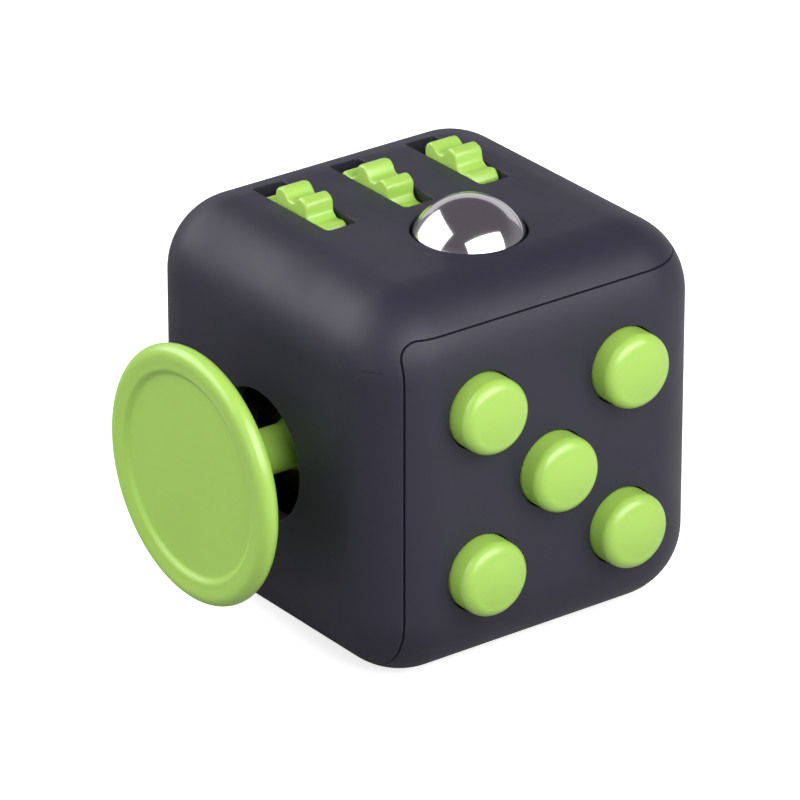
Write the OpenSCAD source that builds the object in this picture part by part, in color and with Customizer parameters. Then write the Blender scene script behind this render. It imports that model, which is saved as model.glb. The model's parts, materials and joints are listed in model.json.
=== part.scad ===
// Fidget cube: a hand toy with a different thing to press, turn or flip on every face.
// Millimetres, +Z up. The origin is the middle of the bottom face, which the cube stands on.
// Front (-Y): five push buttons.  Top (+Z): three toothed wheels and a steel ball.
// Left (-X): thumb stick.  Right (+X): spinning dial.  Back (+Y): flip rocker.
// Bottom (-Z): shallow thumb dish.

/* [Cube] */
// Width, depth and height of the cube without what stands out of it
cube_w = 33; // [31:0.5:42]
// Radius of the outer edges and corners
edge_r = 6.3; // [5:0.1:8]
// Thickness of the casing wall
wall = 2; // [1.8:0.1:2.6]
// Gap along the seam between the two casing halves
seam_gap = 0.15; // [0.05:0.05:0.3]
// Distance of the seam's flat from the outer face it runs under
seam_drop = 2.8; // [2:0.1:4]
// Radius of the seam's corner where three faces meet
seam_corner_r = 1.6; // [1:0.1:2]

/* [Buttons] */
// Radius of a button
button_r = 3.15; // [2.6:0.05:4]
// How far a button stands out of the face
button_proud = 2.5; // [1.5:0.1:3]
// Distance of a corner button from the middle button, along each side
button_pitch = 7; // [6.5:0.1:8]
// Place of the middle button from the middle of the face, to the right and up
button_middle = [0.2, -0.25];
// Clearance between a button and its hole
button_clear = 0.12; // [0.08:0.01:0.2]
// How far a button goes in when pressed
button_travel = 0.9; // [0.5:0.1:1]

/* [Wheels] */
// Distance between two neighbouring wheels
wheel_pitch = 7.6; // [7.4:0.1:8.4]
// Width of a wheel
wheel_w = 2.7; // [2:0.1:3]
// Radius over the wheel's teeth
wheel_tip_r = 4.65; // [4.2:0.05:4.7]
// Depth of the valleys between the teeth
tooth_depth = 0.9; // [0.5:0.05:1]
// Number of teeth
teeth = 9; // [8:1:14]
// Depth of the axle below the top face
axle_depth = 3.1; // [3.1:0.1:4]
// Distance of the axle behind the middle of the top face
axle_back = 5.85; // [5.8:0.05:7]
// Radius of the axle
axle_r = 0.75; // [0.6:0.05:0.9]
// Angle of the click finger of each wheel from straight below, left to right
click_angles = [19.6, 11.6, -12.3];

/* [Ball] */
// Diameter of the steel ball
ball_d = 10; // [9:0.2:10.4]
// How far the ball stands out of the top face
ball_proud = 2.75; // [2:0.05:3.2]
// Distance of the ball in front of the middle of the top face
ball_front = 5.7; // [5.6:0.1:6]
// How far the ball goes in when pressed
ball_travel = 0.9; // [0.5:0.1:1]

/* [Thumb stick] */
// Radius of the stick's disc
disc_r = 10.7; // [9:0.2:12]
// Thickness of the disc at its rim
disc_thick = 1.7; // [1.6:0.1:2.6]
// Finger gap between the disc and the left face
disc_gap = 5.3; // [4.4:0.1:7]
// Radius of the hole in the left face
stick_hole_r = 5.5; // [5:0.1:6.2]
// Distance of the stick below the middle of the left face
stick_drop = 0.6; // [0:0.1:1]
// Radius of the stem at its waist
stem_r = 1.9; // [1.6:0.05:1.95]
// Radius of the pivot ball at the stem's inner end
pivot_r = 2.35; // [2.3:0.05:2.6]
// Depth of the pivot below the left face
pivot_depth = 4.2; // [4.2:0.1:4.6]

/* [Rocker] */
// Width of the rocker
rocker_w = 6.6; // [5:0.1:7.4]
// Radius of the rocker's ends about its pin
rocker_r = 5.2; // [4.8:0.1:5.3]
// Angle between the rocker's two positions
flip_angle = 24; // [16:1:26]

/* [Dial] */
// Radius of the dial
dial_r = 9.5; // [7:0.1:10]
// How far the dial stands out of the right face
dial_proud = 1.6; // [1:0.1:2.5]
// Depth of the recess that the dial sits in
recess_depth = 0.5; // [0.3:0.1:0.7]

/* [Thumb dish] */
// Radius of the dish in the bottom face
dish_r = 8.4; // [7:0.1:9]
// Depth of the dish
dish_depth = 1.6; // [1:0.1:1.8]

/* [Fits] */
// Radial clearance of a part that turns on a pin or in a bearing
running = 0.05; // [0.02:0.01:0.1]
// Clearance between a moving part and the opening it comes through
clear = 0.2; // [0.1:0.05:0.3]

/* [Screws] */
// Radius of a screw's thread
screw_r = 0.7; // [0.6:0.05:0.8]
// Radius of a screw's head
head_r = 1.3; // [1.1:0.1:1.4]
// Height of a screw's head
head_h = 0.9; // [0.7:0.1:1]

/* [Hidden] */
$fn = 48;

charcoal = [0.17, 0.17, 0.20];
lime = [0.55, 0.76, 0.28];
black = [0.05, 0.05, 0.06];
grey = [0.45, 0.45, 0.47];
white = [0.88, 0.88, 0.86];
steel = [0.75, 0.76, 0.78];

half = cube_w / 2;          // middle of the cube to each face
core = half - edge_r;       // middle of the cube to the centre of the edge rounding
tiny = 0.01;                // overlap that joins two solids of one piece
boss_r = 1.4;               // radius of a screw boss
peg_r = 0.6;                // radius of a locating peg between the casing halves
peg_l = 1.2;                // length of a locating peg
lug = 3;                    // width of a locating lug
lug_in = wall + 3.2;        // depth that a locating lug reaches below the face
peg_depth = wall + 2;       // depth of a peg's middle below the face

// Seam: flat distance from the middle of the cube
seam_c = half - seam_drop;

// Buttons, as depths below the front face
flange_r = button_r + 1;
flange_top = wall + 0.3;
flange_t = 0.8;
dome_top = flange_top + flange_t + button_travel + 0.3;
pad_top = dome_top + 1.15;
pad_t = 0.6;
plate_top = pad_top + pad_t;
plate_t = 1.2;
dome_r = 2.5;
snap_r = 2.1;
button_places = [
    for (p = [[-1, 1], [1, 1], [0, 0], [-1, -1], [1, -1]]) p * button_pitch + button_middle
];
click_places = [button_places[0], button_places[2], button_places[4]];
plate_corner = button_pitch + flange_r / sqrt(2) + boss_r;
plate_screw_places = [
    [plate_corner, plate_corner], [plate_corner, -plate_corner],
    [-plate_corner, -plate_corner], [-button_pitch, 0]
];

// Wheels, as depths below the top face
wheel_bore_r = axle_r + running;
wheel_root_r = wheel_tip_r - tooth_depth;
slot_w = wheel_w + clear;
slot_half = sqrt(pow(wheel_tip_r, 2) - pow(max(0, axle_depth - wall), 2)) + 0.65;
rib_w = 1.6;
rib_at = [-1.4 * wheel_pitch, -wheel_pitch / 2, wheel_pitch / 2, 1.4 * wheel_pitch];
rib_bottom = axle_depth + 1.9;
axle_half = 1.4 * wheel_pitch + rib_w / 2;
nose_r = 0.5;
nose_at = wheel_root_r + 0.15 + nose_r;
finger_t = 0.25;
finger_top = axle_depth + wheel_tip_r + 0.15;
finger_w = 2.2;
bracket_top = finger_top + finger_t + 0.45;
bracket_t = 1.4;
comb_front = axle_back + wheel_tip_r + 0.6;
comb_back = comb_front + 2.4;
bracket_front = -1.5;
bracket_back = comb_back + 0.2;
bracket_screw_x = wheel_pitch / 2 + 0.4;
bracket_screw_rear = (comb_front + comb_back) / 2;

// Ball, as depths below the top face
ball_r = ball_d / 2;
ball_depth = ball_r - ball_proud;
ball_hole_r = sqrt(pow(ball_r, 2) - pow(ball_depth, 2)) + 0.24;
seat_r = 3.7;
seat_hole_r = 1.8;
seat_top = ball_depth + sqrt(pow(ball_r, 2) - pow(seat_r - 0.5, 2));
seat_bottom = ball_depth + ball_r + 0.65;
cup_r = seat_r + running + 0.75;
cup_floor = 0.8;
cup_bottom = seat_bottom + cup_floor;
ball_floor = cup_bottom + ball_travel + 1.05;
ball_floor_t = 1;
guide_r = cup_r + 0.15;
guide_wall = 0.7;
notch_from = half - ball_floor - ball_floor_t - 0.3;
plate_to_ball = max(0, half - plate_top - plate_t - ball_front);
ball_notch = sqrt(pow(guide_r + guide_wall, 2) - pow(plate_to_ball, 2)) + 0.1;
ball_ear_x = 8;
ball_ear_top = bracket_top;
ball_ear_t = 1.2;

// Thumb stick, as depths below the left face
socket_gap = 0.05;
lip_rise = 0.75;            // height of the socket's lip above the pivot
lip_r = sqrt(pow(pivot_r + socket_gap, 2) - pow(lip_rise, 2));
stick_cup_r = pivot_r + 0.3;
stick_cup_top = pivot_depth + 1;
ring_bottom = pivot_depth + 0.35;
stick_cup_bottom = pivot_depth + pivot_r + 0.7;
stick_bore_r = stick_cup_r + 1.1;
stick_tube_r = stick_bore_r + 0.9;
stick_spring_l = 3;
stick_floor = stick_cup_bottom + stick_spring_l;
stick_floor_t = 1.1;
stick_ear_top = wall + 2;
stick_ear_t = 1.2;
stick_ear_y = stick_tube_r + boss_r + 0.8;
disc_boss_r = 2.9;
disc_peg_r = 1.1;
disc_peg_l = 1.2;

// Rocker, as depths below the back face
pin_r = 0.8;
pin_depth = wall + pin_r + 0.05;
rocker_crest = pin_depth + 0.35;
cam_r = 3.2;
bump_r = 0.6;
bump_at = cam_r + 0.3;
leaf_t = 0.25;
leaf_top = pin_depth + bump_at + bump_r - leaf_t;
rocker_well = rocker_r + 0.2;
rocker_side = rocker_w / 2 + 0.25;
rocker_wall = 0.75;
rocker_ear_w = 1.05;
rocker_floor = leaf_top + leaf_t + 0.5;
rocker_floor_t = 1;
rocker_screw_x = rocker_side + rocker_ear_w + boss_r + 1;
rocker_lug_top = wall + 2;
rocker_lug_t = 1.2;

// Dial, as depths below the right face
hub_r = 3;
hub_bottom = wall + 0.3;
dial_under = recess_depth - 0.3;
washer_r = 4.4;
washer_t = 0.7;

// Thumb dish: the sphere that cuts it, and the round pad behind it
dish_sphere_r = (pow(dish_r, 2) + pow(dish_depth, 2)) / (2 * dish_depth);
dish_pad_r = dish_r + 1.1;
dish_pad_top = wall + dish_depth - 0.1;

// Local frames: +Z points out of the face, Z = 0 is the face, and the part stands on Z = 0
module on_top() translate([0, 0, cube_w]) children();
module on_bottom() rotate([180, 0, 0]) children();
module on_front() translate([0, -half, half]) rotate([90, 0, 0]) children();
module on_back() translate([0, half, half]) rotate([90, 0, 180]) children();
module on_left() translate([-half, 0, half]) rotate([90, 0, -90]) children();
module on_right() translate([half, 0, half]) rotate([90, 0, 90]) children();
module on_stick() on_left() translate([0, -stick_drop, 0]) children();

// A cylinder from one depth below the face to a deeper one
module post(r, top, bottom) translate([0, 0, -bottom]) cylinder(r = r, h = bottom - top);

// A box centred on X and Y from one depth below the face to a deeper one
module slab(x, y, top, bottom) {
    translate([-x / 2, -y / 2, -bottom]) cube([x, y, bottom - top]);
}

// A ball with its poles and sides exactly on its radius
module round_ball(r, facets) {
    rotate_extrude($fn = facets) intersection() {
        circle(r = r, $fn = facets);
        translate([0, -r]) square([r, 2 * r]);
    }
}

// A cube with all edges and corners rounded
module soft_cube(w, r) {
    reach = w / 2 - r;
    translate([0, 0, half]) hull() {
        for (x = [-1, 1], y = [-1, 1], z = [-1, 1]) {
            translate([x * reach, y * reach, z * reach]) round_ball(r, 32);
        }
    }
}

// A self-tapping screw with its head's seat at Z = 0 and its thread up along +Z
module screw(length) {
    difference() {
        union() {
            translate([0, 0, -head_h]) cylinder(r = head_r, h = head_h, $fn = 24);
            translate([0, 0, -tiny]) cylinder(r = screw_r, h = length + tiny, $fn = 24);
        }
        for (turn = [0, 90]) {
            rotate([0, 0, turn]) translate([-head_r * 0.7, -0.15, -head_h - tiny])
                cube([head_r * 1.4, 0.3, head_h * 0.55]);
        }
    }
}

// A screw boss with a pilot hole in its inner end
module boss(top, bottom) {
    difference() {
        post(boss_r, top, bottom);
        translate([0, 0, -bottom - tiny]) cylinder(r = screw_r + 0.02, h = bottom - top + tiny);
    }
}

// A coil of round wire standing on Z = 0: one swept tube of the given turns and height
function ring_point(turn, side, coil_r, wire_r, rise) =
    let (a = 360 * turn, b = 360 * side, r = coil_r + wire_r * cos(b))
    [r * cos(a), r * sin(a), wire_r + rise * turn + wire_r * sin(b)];

module coil(coil_r, wire_r, height, turns) {
    steps = 18;
    sides = 6;
    rings = turns * steps;
    rise = (height - 2 * wire_r) / turns;
    points = [
        for (i = [0:rings], j = [0:sides - 1])
            ring_point(i / steps, j / sides, coil_r, wire_r, rise)
    ];
    walls = [
        for (i = [0:rings - 1], j = [0:sides - 1])
            let (k = (j + 1) % sides)
            [i * sides + j, (i + 1) * sides + j, (i + 1) * sides + k, i * sides + k]
    ];
    first_end = [[for (j = [0:sides - 1]) j]];
    last_end = [[for (j = [sides - 1:-1:0]) rings * sides + j]];
    polyhedron(points = points, faces = concat(first_end, walls, last_end), convexity = 4);
}

// ---------------------------------------------------------------- casing

// A quarter of a panel's outline along the seam, with its rounded corner at -X +Y
module panel_quarter(inner, grow) {
    corner_at = seam_c - seam_corner_r;
    hull() {
        translate([-corner_at, corner_at]) circle(r = seam_corner_r - grow);
        polygon([[-inner, 0], [0, 0], [0, inner]]);
    }
}

// The front half's panels, where each one's rounded corner reaches into the rear region
module panel_corners(inner, grow) {
    rotate([90, 0, 0]) translate([0, 0, core])
        linear_extrude(height = cube_w) panel_quarter(inner, grow);
    rotate([90, 0, 90]) translate([0, 0, core])
        linear_extrude(height = cube_w) mirror([1, 0]) panel_quarter(inner, grow);
    translate([0, 0, -core - cube_w])
        linear_extrude(height = cube_w) panel_quarter(inner, grow);
}

// The rear, left and top walls' share of the casing, grown by a margin on every side of the seam
module rear_region(grow) {
    inner = seam_c - grow;
    outer = core + sqrt(pow(edge_r, 2) - pow(inner - core, 2));
    far = cube_w;
    translate([0, 0, half]) difference() {
        intersection() {
            union() {
                translate([-far, -far, inner]) cube([2 * far, 2 * far, far]);
                translate([-far - inner, -far, -far]) cube([far, 2 * far, 2 * far]);
                translate([-far, inner, -far]) cube([2 * far, far, 2 * far]);
                translate([-far - core, -far, core]) cube([far, 2 * far, far]);
                translate([-far - core, core, -far]) cube([far, far, 2 * far]);
                translate([-far, core, core]) cube([2 * far, far, far]);
            }
            translate([-far, -outer, -outer]) cube([far + outer, far + outer, far + outer]);
        }
        panel_corners(inner, grow);
    }
}

module casing() {
    difference() {
        soft_cube(cube_w, edge_r);
        soft_cube(cube_w - 2 * wall, edge_r - wall);
    }
}

// Places of the six locating lugs: the face whose wall holds the peg, the edge and the offset
module at_lugs() {
    on_front() {
        rotate([0, 0, 90]) children();
        rotate([0, 0, 180]) children();
    }
    on_right() {
        rotate([0, 0, 90]) translate([0, ball_front, 0]) children();
        children();
    }
    on_bottom() {
        rotate([0, 0, 180]) children();
        rotate([0, 0, -90]) children();
    }
}

module peg_lug() {
    translate([seam_c - 2.6, -lug / 2, -lug_in]) cube([2.6, lug, lug_in - wall]);
    translate([seam_c - 1, 0, -peg_depth]) rotate([0, 90, 0]) cylinder(r = peg_r, h = peg_l + 1);
}

module socket_lug() {
    translate([seam_c, -lug / 2, -lug_in]) cube([1.3, lug, lug_in - wall - 0.6]);
}

module peg_hole() {
    translate([seam_c - 1, 0, -peg_depth]) rotate([0, 90, 0])
        cylinder(r = peg_r + running, h = peg_l + 1.1);
}

module shell_front_half() {
    color(charcoal) difference() {
        union() {
            difference() {
                casing();
                rear_region(seam_gap);
            }
            at_lugs() peg_lug();
            on_front() for (place = plate_screw_places) {
                translate(place) boss(wall - 0.5, plate_top);
            }
            on_bottom() post(dish_pad_r, wall - 0.5, dish_pad_top);
        }
        on_front() for (place = button_places) {
            translate(place) post(button_r + button_clear, -1, wall + 1);
        }
        on_right() {
            post(dial_r + 0.3, -1, recess_depth);
            post(hub_r + running + 0.03, -1, wall + 1);
        }
        on_bottom() translate([0, 0, dish_sphere_r - dish_depth]) sphere(r = dish_sphere_r, $fn = 96);
    }
}

module shell_rear_half() {
    color(charcoal) difference() {
        union() {
            intersection() {
                casing();
                rear_region(0);
            }
            at_lugs() socket_lug();
            on_top() {
                axle_ribs();
                for (x = [-1, 1]) {
                    translate([x * ball_ear_x, -ball_front, 0]) boss(wall - 0.5, ball_ear_top);
                    translate([x * bracket_screw_x, 0, 0]) boss(wall - 0.5, bracket_top);
                    translate([x * bracket_screw_x, bracket_screw_rear, 0])
                        boss(wall - 0.2, finger_top);
                }
            }
            on_stick() for (x = [-1, 1]) {
                translate([x * stick_ear_y, 0, 0]) boss(wall - 0.5, stick_ear_top);
            }
            on_back() for (x = [-1, 1]) {
                translate([x * rocker_screw_x, 0, 0]) boss(wall - 0.5, rocker_lug_top);
            }
        }
        at_lugs() peg_hole();
        on_top() {
            for (i = [-1:1]) {
                translate([i * wheel_pitch, axle_back, 0]) slab(slot_w, 2 * slot_half, -1, wall + 0.6);
            }
            axle_notch();
            translate([0, -ball_front, 0]) {
                post(ball_hole_r, -1, wall);
                translate([0, 0, -ball_depth]) sphere(r = ball_r + 0.1, $fn = 96);
            }
        }
        on_stick() post(stick_hole_r, -1, wall + 1);
        on_back() translate([-rocker_w / 2 - clear, 0, -pin_depth]) rotate([0, 90, 0])
            cylinder(r = rocker_r + clear, h = rocker_w + 2 * clear, $fn = 96);
    }
}

// Ribs under the top wall, which carry the axle
module axle_ribs() {
    for (x = rib_at) {
        translate([x, axle_back, 0]) slab(rib_w, 5.3, wall - 0.3, rib_bottom);
    }
}

// Notch through the ribs that the axle is laid in from below
module axle_notch() {
    reach = axle_half + 0.1;
    translate([-reach, axle_back, -axle_depth]) rotate([0, 90, 0])
        cylinder(r = axle_r + 0.02, h = 2 * reach);
    translate([0, axle_back, 0]) slab(2 * reach, 2 * axle_r + 0.04, axle_depth, rib_bottom + 1);
}

// ---------------------------------------------------------------- click face

module button(place) {
    bevel = 1;
    crown = 0.25;
    edge_z = button_proud - crown - bevel;
    color(lime) on_front() translate(place) rotate_extrude($fn = 64) difference() {
        union() {
            translate([0, -flange_top]) square([button_r, flange_top + edge_z]);
            translate([0, -flange_top]) square([button_r - bevel, flange_top + edge_z + bevel]);
            translate([button_r - bevel, edge_z]) circle(r = bevel);
            translate([0, -flange_top - flange_t]) square([flange_r, flange_t]);
            translate([0, -dome_top]) square([1.2, dome_top - flange_top]);
            button_crown(bevel, crown);
        }
        translate([1.8, -flange_top - flange_t - 1]) square([0.9, flange_t + 2.4]);
    }
}

// The gently domed middle of a button's top, as half of its outline
module button_crown(bevel, crown) {
    flat_r = button_r - bevel;
    sweep_r = (pow(flat_r, 2) + pow(crown, 2)) / (2 * crown);
    intersection() {
        translate([0, button_proud - sweep_r]) circle(r = sweep_r, $fn = 360);
        square([flat_r, button_proud + 1]);
    }
}

// Soft rubber sheet with a hollow dome under every button
module button_dome_pad() {
    side = 2 * (button_pitch + dome_r + 0.5);
    color(black) on_front() difference() {
        union() {
            slab(side, side, pad_top, plate_top);
            for (place = button_places) {
                translate([place[0], place[1], -pad_top - tiny])
                    cylinder(r1 = dome_r, r2 = 1.5, h = pad_top - dome_top - 0.05);
            }
        }
        for (place = button_places) {
            translate([place[0], place[1], -plate_top - tiny])
                cylinder(r1 = dome_r - 0.3, r2 = 1.1, h = pad_top + pad_t - dome_top - 0.45);
        }
        translate(plate_screw_places[3]) post(boss_r + 0.2, pad_top - 1, plate_top + 1);
        ball_clearance(pad_top - 1, plate_top + 1);
    }
}

// Notch in the top edge of the click face's inner plates, which the ball's housing stands in
module ball_clearance(top, bottom) {
    translate([0, notch_from + half / 2, 0]) slab(2 * ball_notch, half, top, bottom);
}

// Thin domed disc of spring steel that clicks when its middle is pushed down
module snap_dome(bulge) {
    curve_r = (pow(snap_r, 2) + pow(bulge, 2)) / (2 * bulge);
    rotate_extrude() intersection() {
        translate([0, bulge - curve_r]) difference() {
            circle(r = curve_r, $fn = 180);
            circle(r = curve_r - 0.12, $fn = 180);
        }
        square([snap_r, 1]);
    }
}

// Three of the buttons click: the other two press on rubber alone
module click_snap_domes() {
    color(steel) on_front() for (place = click_places) {
        translate([place[0], place[1], -plate_top - 0.4]) snap_dome(0.35);
    }
}

module click_backplate() {
    side = 2 * (plate_corner + boss_r);
    color(grey) difference() {
        on_front() slab(side, side, plate_top, plate_top + plate_t);
        on_front() for (place = click_places) {
            translate(place) post(snap_r + 0.15, plate_top - 1, plate_top + 0.4);
        }
        on_front() for (place = plate_screw_places) {
            translate(place) post(screw_r + 0.1, plate_top - 1, plate_top + plate_t + 1);
        }
        on_front() ball_clearance(plate_top - 1, plate_top + plate_t + 1);
        on_bottom() post(dish_pad_r + 0.2, -1, dish_pad_top + 0.2);
    }
}

module click_plate_screws() {
    color(steel) on_front() for (place = plate_screw_places) {
        translate([place[0], place[1], -plate_top - plate_t]) screw(3.6);
    }
}

// ---------------------------------------------------------------- roll face

// A wheel's outline: a wave of broad rounded teeth about the axle
function wave_r(a) = wheel_root_r + tooth_depth * (0.5 + 0.5 * sin(90 * cos(teeth * a)));

// The wheel's turn that puts a valley over its click finger
module toothed_wheel(index) {
    turn = 180 + click_angles[index] + 180 / teeth;
    color(lime) on_top() translate([(index - 1) * wheel_pitch, axle_back, -axle_depth])
    rotate([90, 0, 90]) translate([0, 0, -wheel_w / 2]) difference() {
        linear_extrude(height = wheel_w) polygon([
            for (i = [0:16 * teeth - 1])
                let (a = i * 22.5 / teeth)
                [wave_r(a) * sin(a + turn), wave_r(a) * cos(a + turn)]
        ]);
        translate([0, 0, -1]) cylinder(r = wheel_bore_r, h = wheel_w + 2);
    }
}

module wheel_axle() {
    color(steel) on_top() translate([-axle_half, axle_back, -axle_depth]) rotate([0, 90, 0])
        cylinder(r = axle_r, h = 2 * axle_half);
}

// Plate under the wheels: its posts close the axle's notches, its windows clear the wheels
module wheel_bracket() {
    long = bracket_back - bracket_front;
    mid = (bracket_back + bracket_front) / 2;
    wide = 2 * axle_half;
    color(grey) on_top() difference() {
        union() {
            translate([0, mid, 0]) slab(wide, long, bracket_top, bracket_top + bracket_t);
            translate([0, (comb_front + bracket_back) / 2, 0])
                slab(wide, bracket_back - comb_front, finger_top + finger_t, bracket_top + tiny);
            for (x = rib_at) {
                translate([x, axle_back, 0]) {
                    slab(rib_w - 0.2, 2 * axle_r - 0.1, axle_depth + axle_r + 0.02, bracket_top + tiny);
                    slab(rib_w - 0.2, 4, rib_bottom + 0.1, bracket_top + tiny);
                }
            }
        }
        for (i = [-1:1]) {
            translate([i * wheel_pitch, axle_back, 0])
                slab(finger_w + 1.2, 2 * wheel_tip_r - 1, bracket_top - 1, bracket_top + bracket_t + 1);
        }
        for (x = [-1, 1], y = [0, bracket_screw_rear]) {
            translate([x * bracket_screw_x, y, 0]) {
                post(screw_r + 0.1, bracket_top - 1, bracket_top + bracket_t + 1);
                post(head_r + 0.1, bracket_top + bracket_t - head_h, bracket_top + bracket_t + 1);
            }
        }
        translate([0, -ball_front, 0])
            post(guide_r + guide_wall + 0.2, bracket_top - 1, bracket_top + bracket_t + 1);
    }
}

// Spring-steel comb: one finger under each wheel, with a nose that rests in a tooth valley
module wheel_click_spring() {
    color(steel) on_top() difference() {
        union() {
            translate([0, (comb_front + comb_back) / 2, 0])
                slab(2 * axle_half - 1, comb_back - comb_front, finger_top, finger_top + finger_t);
            for (i = [0:2]) {
                nose_y = axle_back + nose_at * sin(-click_angles[i]);
                translate([(i - 1) * wheel_pitch, 0, 0]) {
                    translate([0, (nose_y + comb_front) / 2, 0])
                        slab(finger_w, comb_front - nose_y + 1, finger_top, finger_top + finger_t);
                    translate([-finger_w / 2, nose_y, -axle_depth - nose_at * cos(click_angles[i])])
                        rotate([0, 90, 0]) cylinder(r = nose_r, h = finger_w, $fn = 24);
                    translate([0, nose_y, 0])
                        slab(finger_w, 2 * nose_r, axle_depth + nose_at * cos(click_angles[i]), finger_top + tiny);
                }
            }
        }
        for (x = [-1, 1]) {
            translate([x * bracket_screw_x, bracket_screw_rear, 0])
                post(screw_r + 0.1, finger_top - 1, finger_top + 1);
        }
    }
}

module wheel_bracket_screws() {
    color(steel) on_top() for (x = [-1, 1], y = [0, bracket_screw_rear]) {
        translate([x * bracket_screw_x, y, -bracket_top - bracket_t + head_h]) screw(3.8);
    }
}

module roll_ball() {
    color(steel) on_top() translate([0, -ball_front, -ball_depth]) sphere(r = ball_r, $fn = 96);
}

// Slippery ring that the ball rolls on
module ball_seat() {
    color(white) on_top() translate([0, -ball_front, 0]) difference() {
        post(seat_r, seat_top, seat_bottom);
        translate([0, 0, -ball_depth]) sphere(r = ball_r + running, $fn = 96);
        post(seat_hole_r, seat_top - 1, seat_bottom + 1);
    }
}

// Plunger that carries the seat down when the ball is pressed
module ball_cup() {
    color(grey) on_top() translate([0, -ball_front, 0]) difference() {
        union() {
            post(cup_r, seat_top + 0.2, cup_bottom);
            post(1.1, cup_bottom - tiny, ball_floor - ball_travel - 0.45);
        }
        post(seat_r + running, seat_top - 1, seat_bottom);
    }
}

module ball_spring() {
    color(steel) on_top() translate([0, -ball_front, -ball_floor])
        coil(3, 0.2, ball_floor - cup_bottom, 3);
}

module ball_snap_dome() {
    color(steel) on_top() translate([0, -ball_front, -ball_floor]) snap_dome(0.4);
}

module ball_housing() {
    color(grey) on_top() translate([0, -ball_front, 0]) difference() {
        union() {
            post(guide_r + guide_wall, seat_top + 0.2, ball_floor + ball_floor_t);
            slab(2 * ball_ear_x, 2 * boss_r, ball_ear_top, ball_ear_top + ball_ear_t);
            for (x = [-1, 1]) {
                translate([x * ball_ear_x, 0, 0]) post(boss_r, ball_ear_top, ball_ear_top + ball_ear_t);
            }
        }
        post(guide_r, seat_top - 1, ball_floor);
        for (x = [-1, 1]) {
            translate([x * ball_ear_x, 0, 0])
                post(screw_r + 0.1, ball_ear_top - 1, ball_ear_top + ball_ear_t + 1);
        }
    }
}

module ball_housing_screws() {
    color(steel) on_top() for (x = [-1, 1]) {
        translate([x * ball_ear_x, -ball_front, -ball_ear_top - ball_ear_t]) screw(4);
    }
}

// ---------------------------------------------------------------- glide face

// Thumb disc: a flat, slightly sunken middle inside a raised rounded rim
module stick_disc() {
    rim_w = 2;
    rim_r = disc_thick / 2;
    sink = 0.45;
    boss_l = 1.6;
    color(lime) on_stick() translate([0, 0, disc_gap]) difference() {
        rotate_extrude($fn = 96) {
            translate([disc_r - rim_r, rim_r]) circle(r = rim_r);
            translate([disc_r - rim_w, 0]) square([rim_w - rim_r, disc_thick]);
            square([disc_r - rim_r, disc_thick - sink]);
            translate([0, -boss_l]) square([disc_boss_r, boss_l + tiny]);
        }
        translate([0, 0, -boss_l - 1]) cylinder(r = disc_peg_r, h = 1 + disc_peg_l);
    }
}

// Stem with its pivot ball, a waist, and a peg that is pressed into the disc
module stick_stem() {
    top = disc_gap - 1.6;
    waist_top = top - 1;
    color(lime) on_stick() {
        translate([0, 0, -pivot_depth]) sphere(r = pivot_r, $fn = 64);
        translate([0, 0, -pivot_depth]) cylinder(r = stem_r, h = pivot_depth + waist_top + tiny);
        translate([0, 0, waist_top]) cylinder(r1 = stem_r, r2 = disc_boss_r, h = 1);
        translate([0, 0, top - tiny]) cylinder(r = disc_peg_r, h = disc_peg_l + tiny);
    }
}

// Spring cup that presses on the pivot ball from inside
module stick_cup() {
    color(white) on_stick() difference() {
        union() {
            post(stick_cup_r, stick_cup_top, stick_cup_bottom);
            post(1.3, stick_cup_bottom - tiny, stick_cup_bottom + 0.8);
        }
        translate([0, 0, -pivot_depth]) sphere(r = pivot_r + running, $fn = 64);
    }
}

module stick_spring() {
    color(steel) on_stick() translate([0, 0, -stick_floor])
        coil(1.9, 0.22, stick_spring_l, 4);
}

// Ring that the pivot ball bears on: its lip keeps the ball from coming out
module stick_socket_ring() {
    color(black) on_stick() difference() {
        union() {
            post(stick_bore_r - 0.01, pivot_depth - 0.2, ring_bottom);
            translate([0, 0, -pivot_depth + 0.19])
                cylinder(r1 = stick_tube_r - 0.01, r2 = lip_r + 0.6, h = lip_rise - 0.19);
            post(stick_tube_r - 0.01, pivot_depth - 0.2, pivot_depth + 0.2);
        }
        translate([0, 0, -pivot_depth]) sphere(r = pivot_r + socket_gap, $fn = 64);
        post(pivot_r + socket_gap, pivot_depth, ring_bottom + 1);
    }
}

module stick_housing() {
    ear_l = 2 * stick_ear_y;
    color(black) on_stick() difference() {
        union() {
            post(stick_tube_r, pivot_depth + 0.2, stick_floor + stick_floor_t);
            slab(ear_l, 2 * boss_r, stick_ear_top, stick_ear_top + stick_ear_t);
            for (x = [-1, 1]) {
                translate([x * stick_ear_y, 0, 0])
                    post(boss_r, stick_ear_top, stick_ear_top + stick_ear_t);
            }
        }
        post(stick_bore_r, pivot_depth - 1, stick_floor);
        post(stick_tube_r, stick_ear_top - 1, pivot_depth + 0.2);
        for (x = [-1, 1]) {
            translate([x * stick_ear_y, 0, 0])
                post(screw_r + 0.1, stick_ear_top - 1, stick_ear_top + stick_ear_t + 1);
        }
    }
}

module stick_housing_screws() {
    color(steel) on_stick() for (x = [-1, 1]) {
        translate([x * stick_ear_y, 0, -stick_ear_top - stick_ear_t]) screw(2.6);
    }
}

// ---------------------------------------------------------------- flip face

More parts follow.
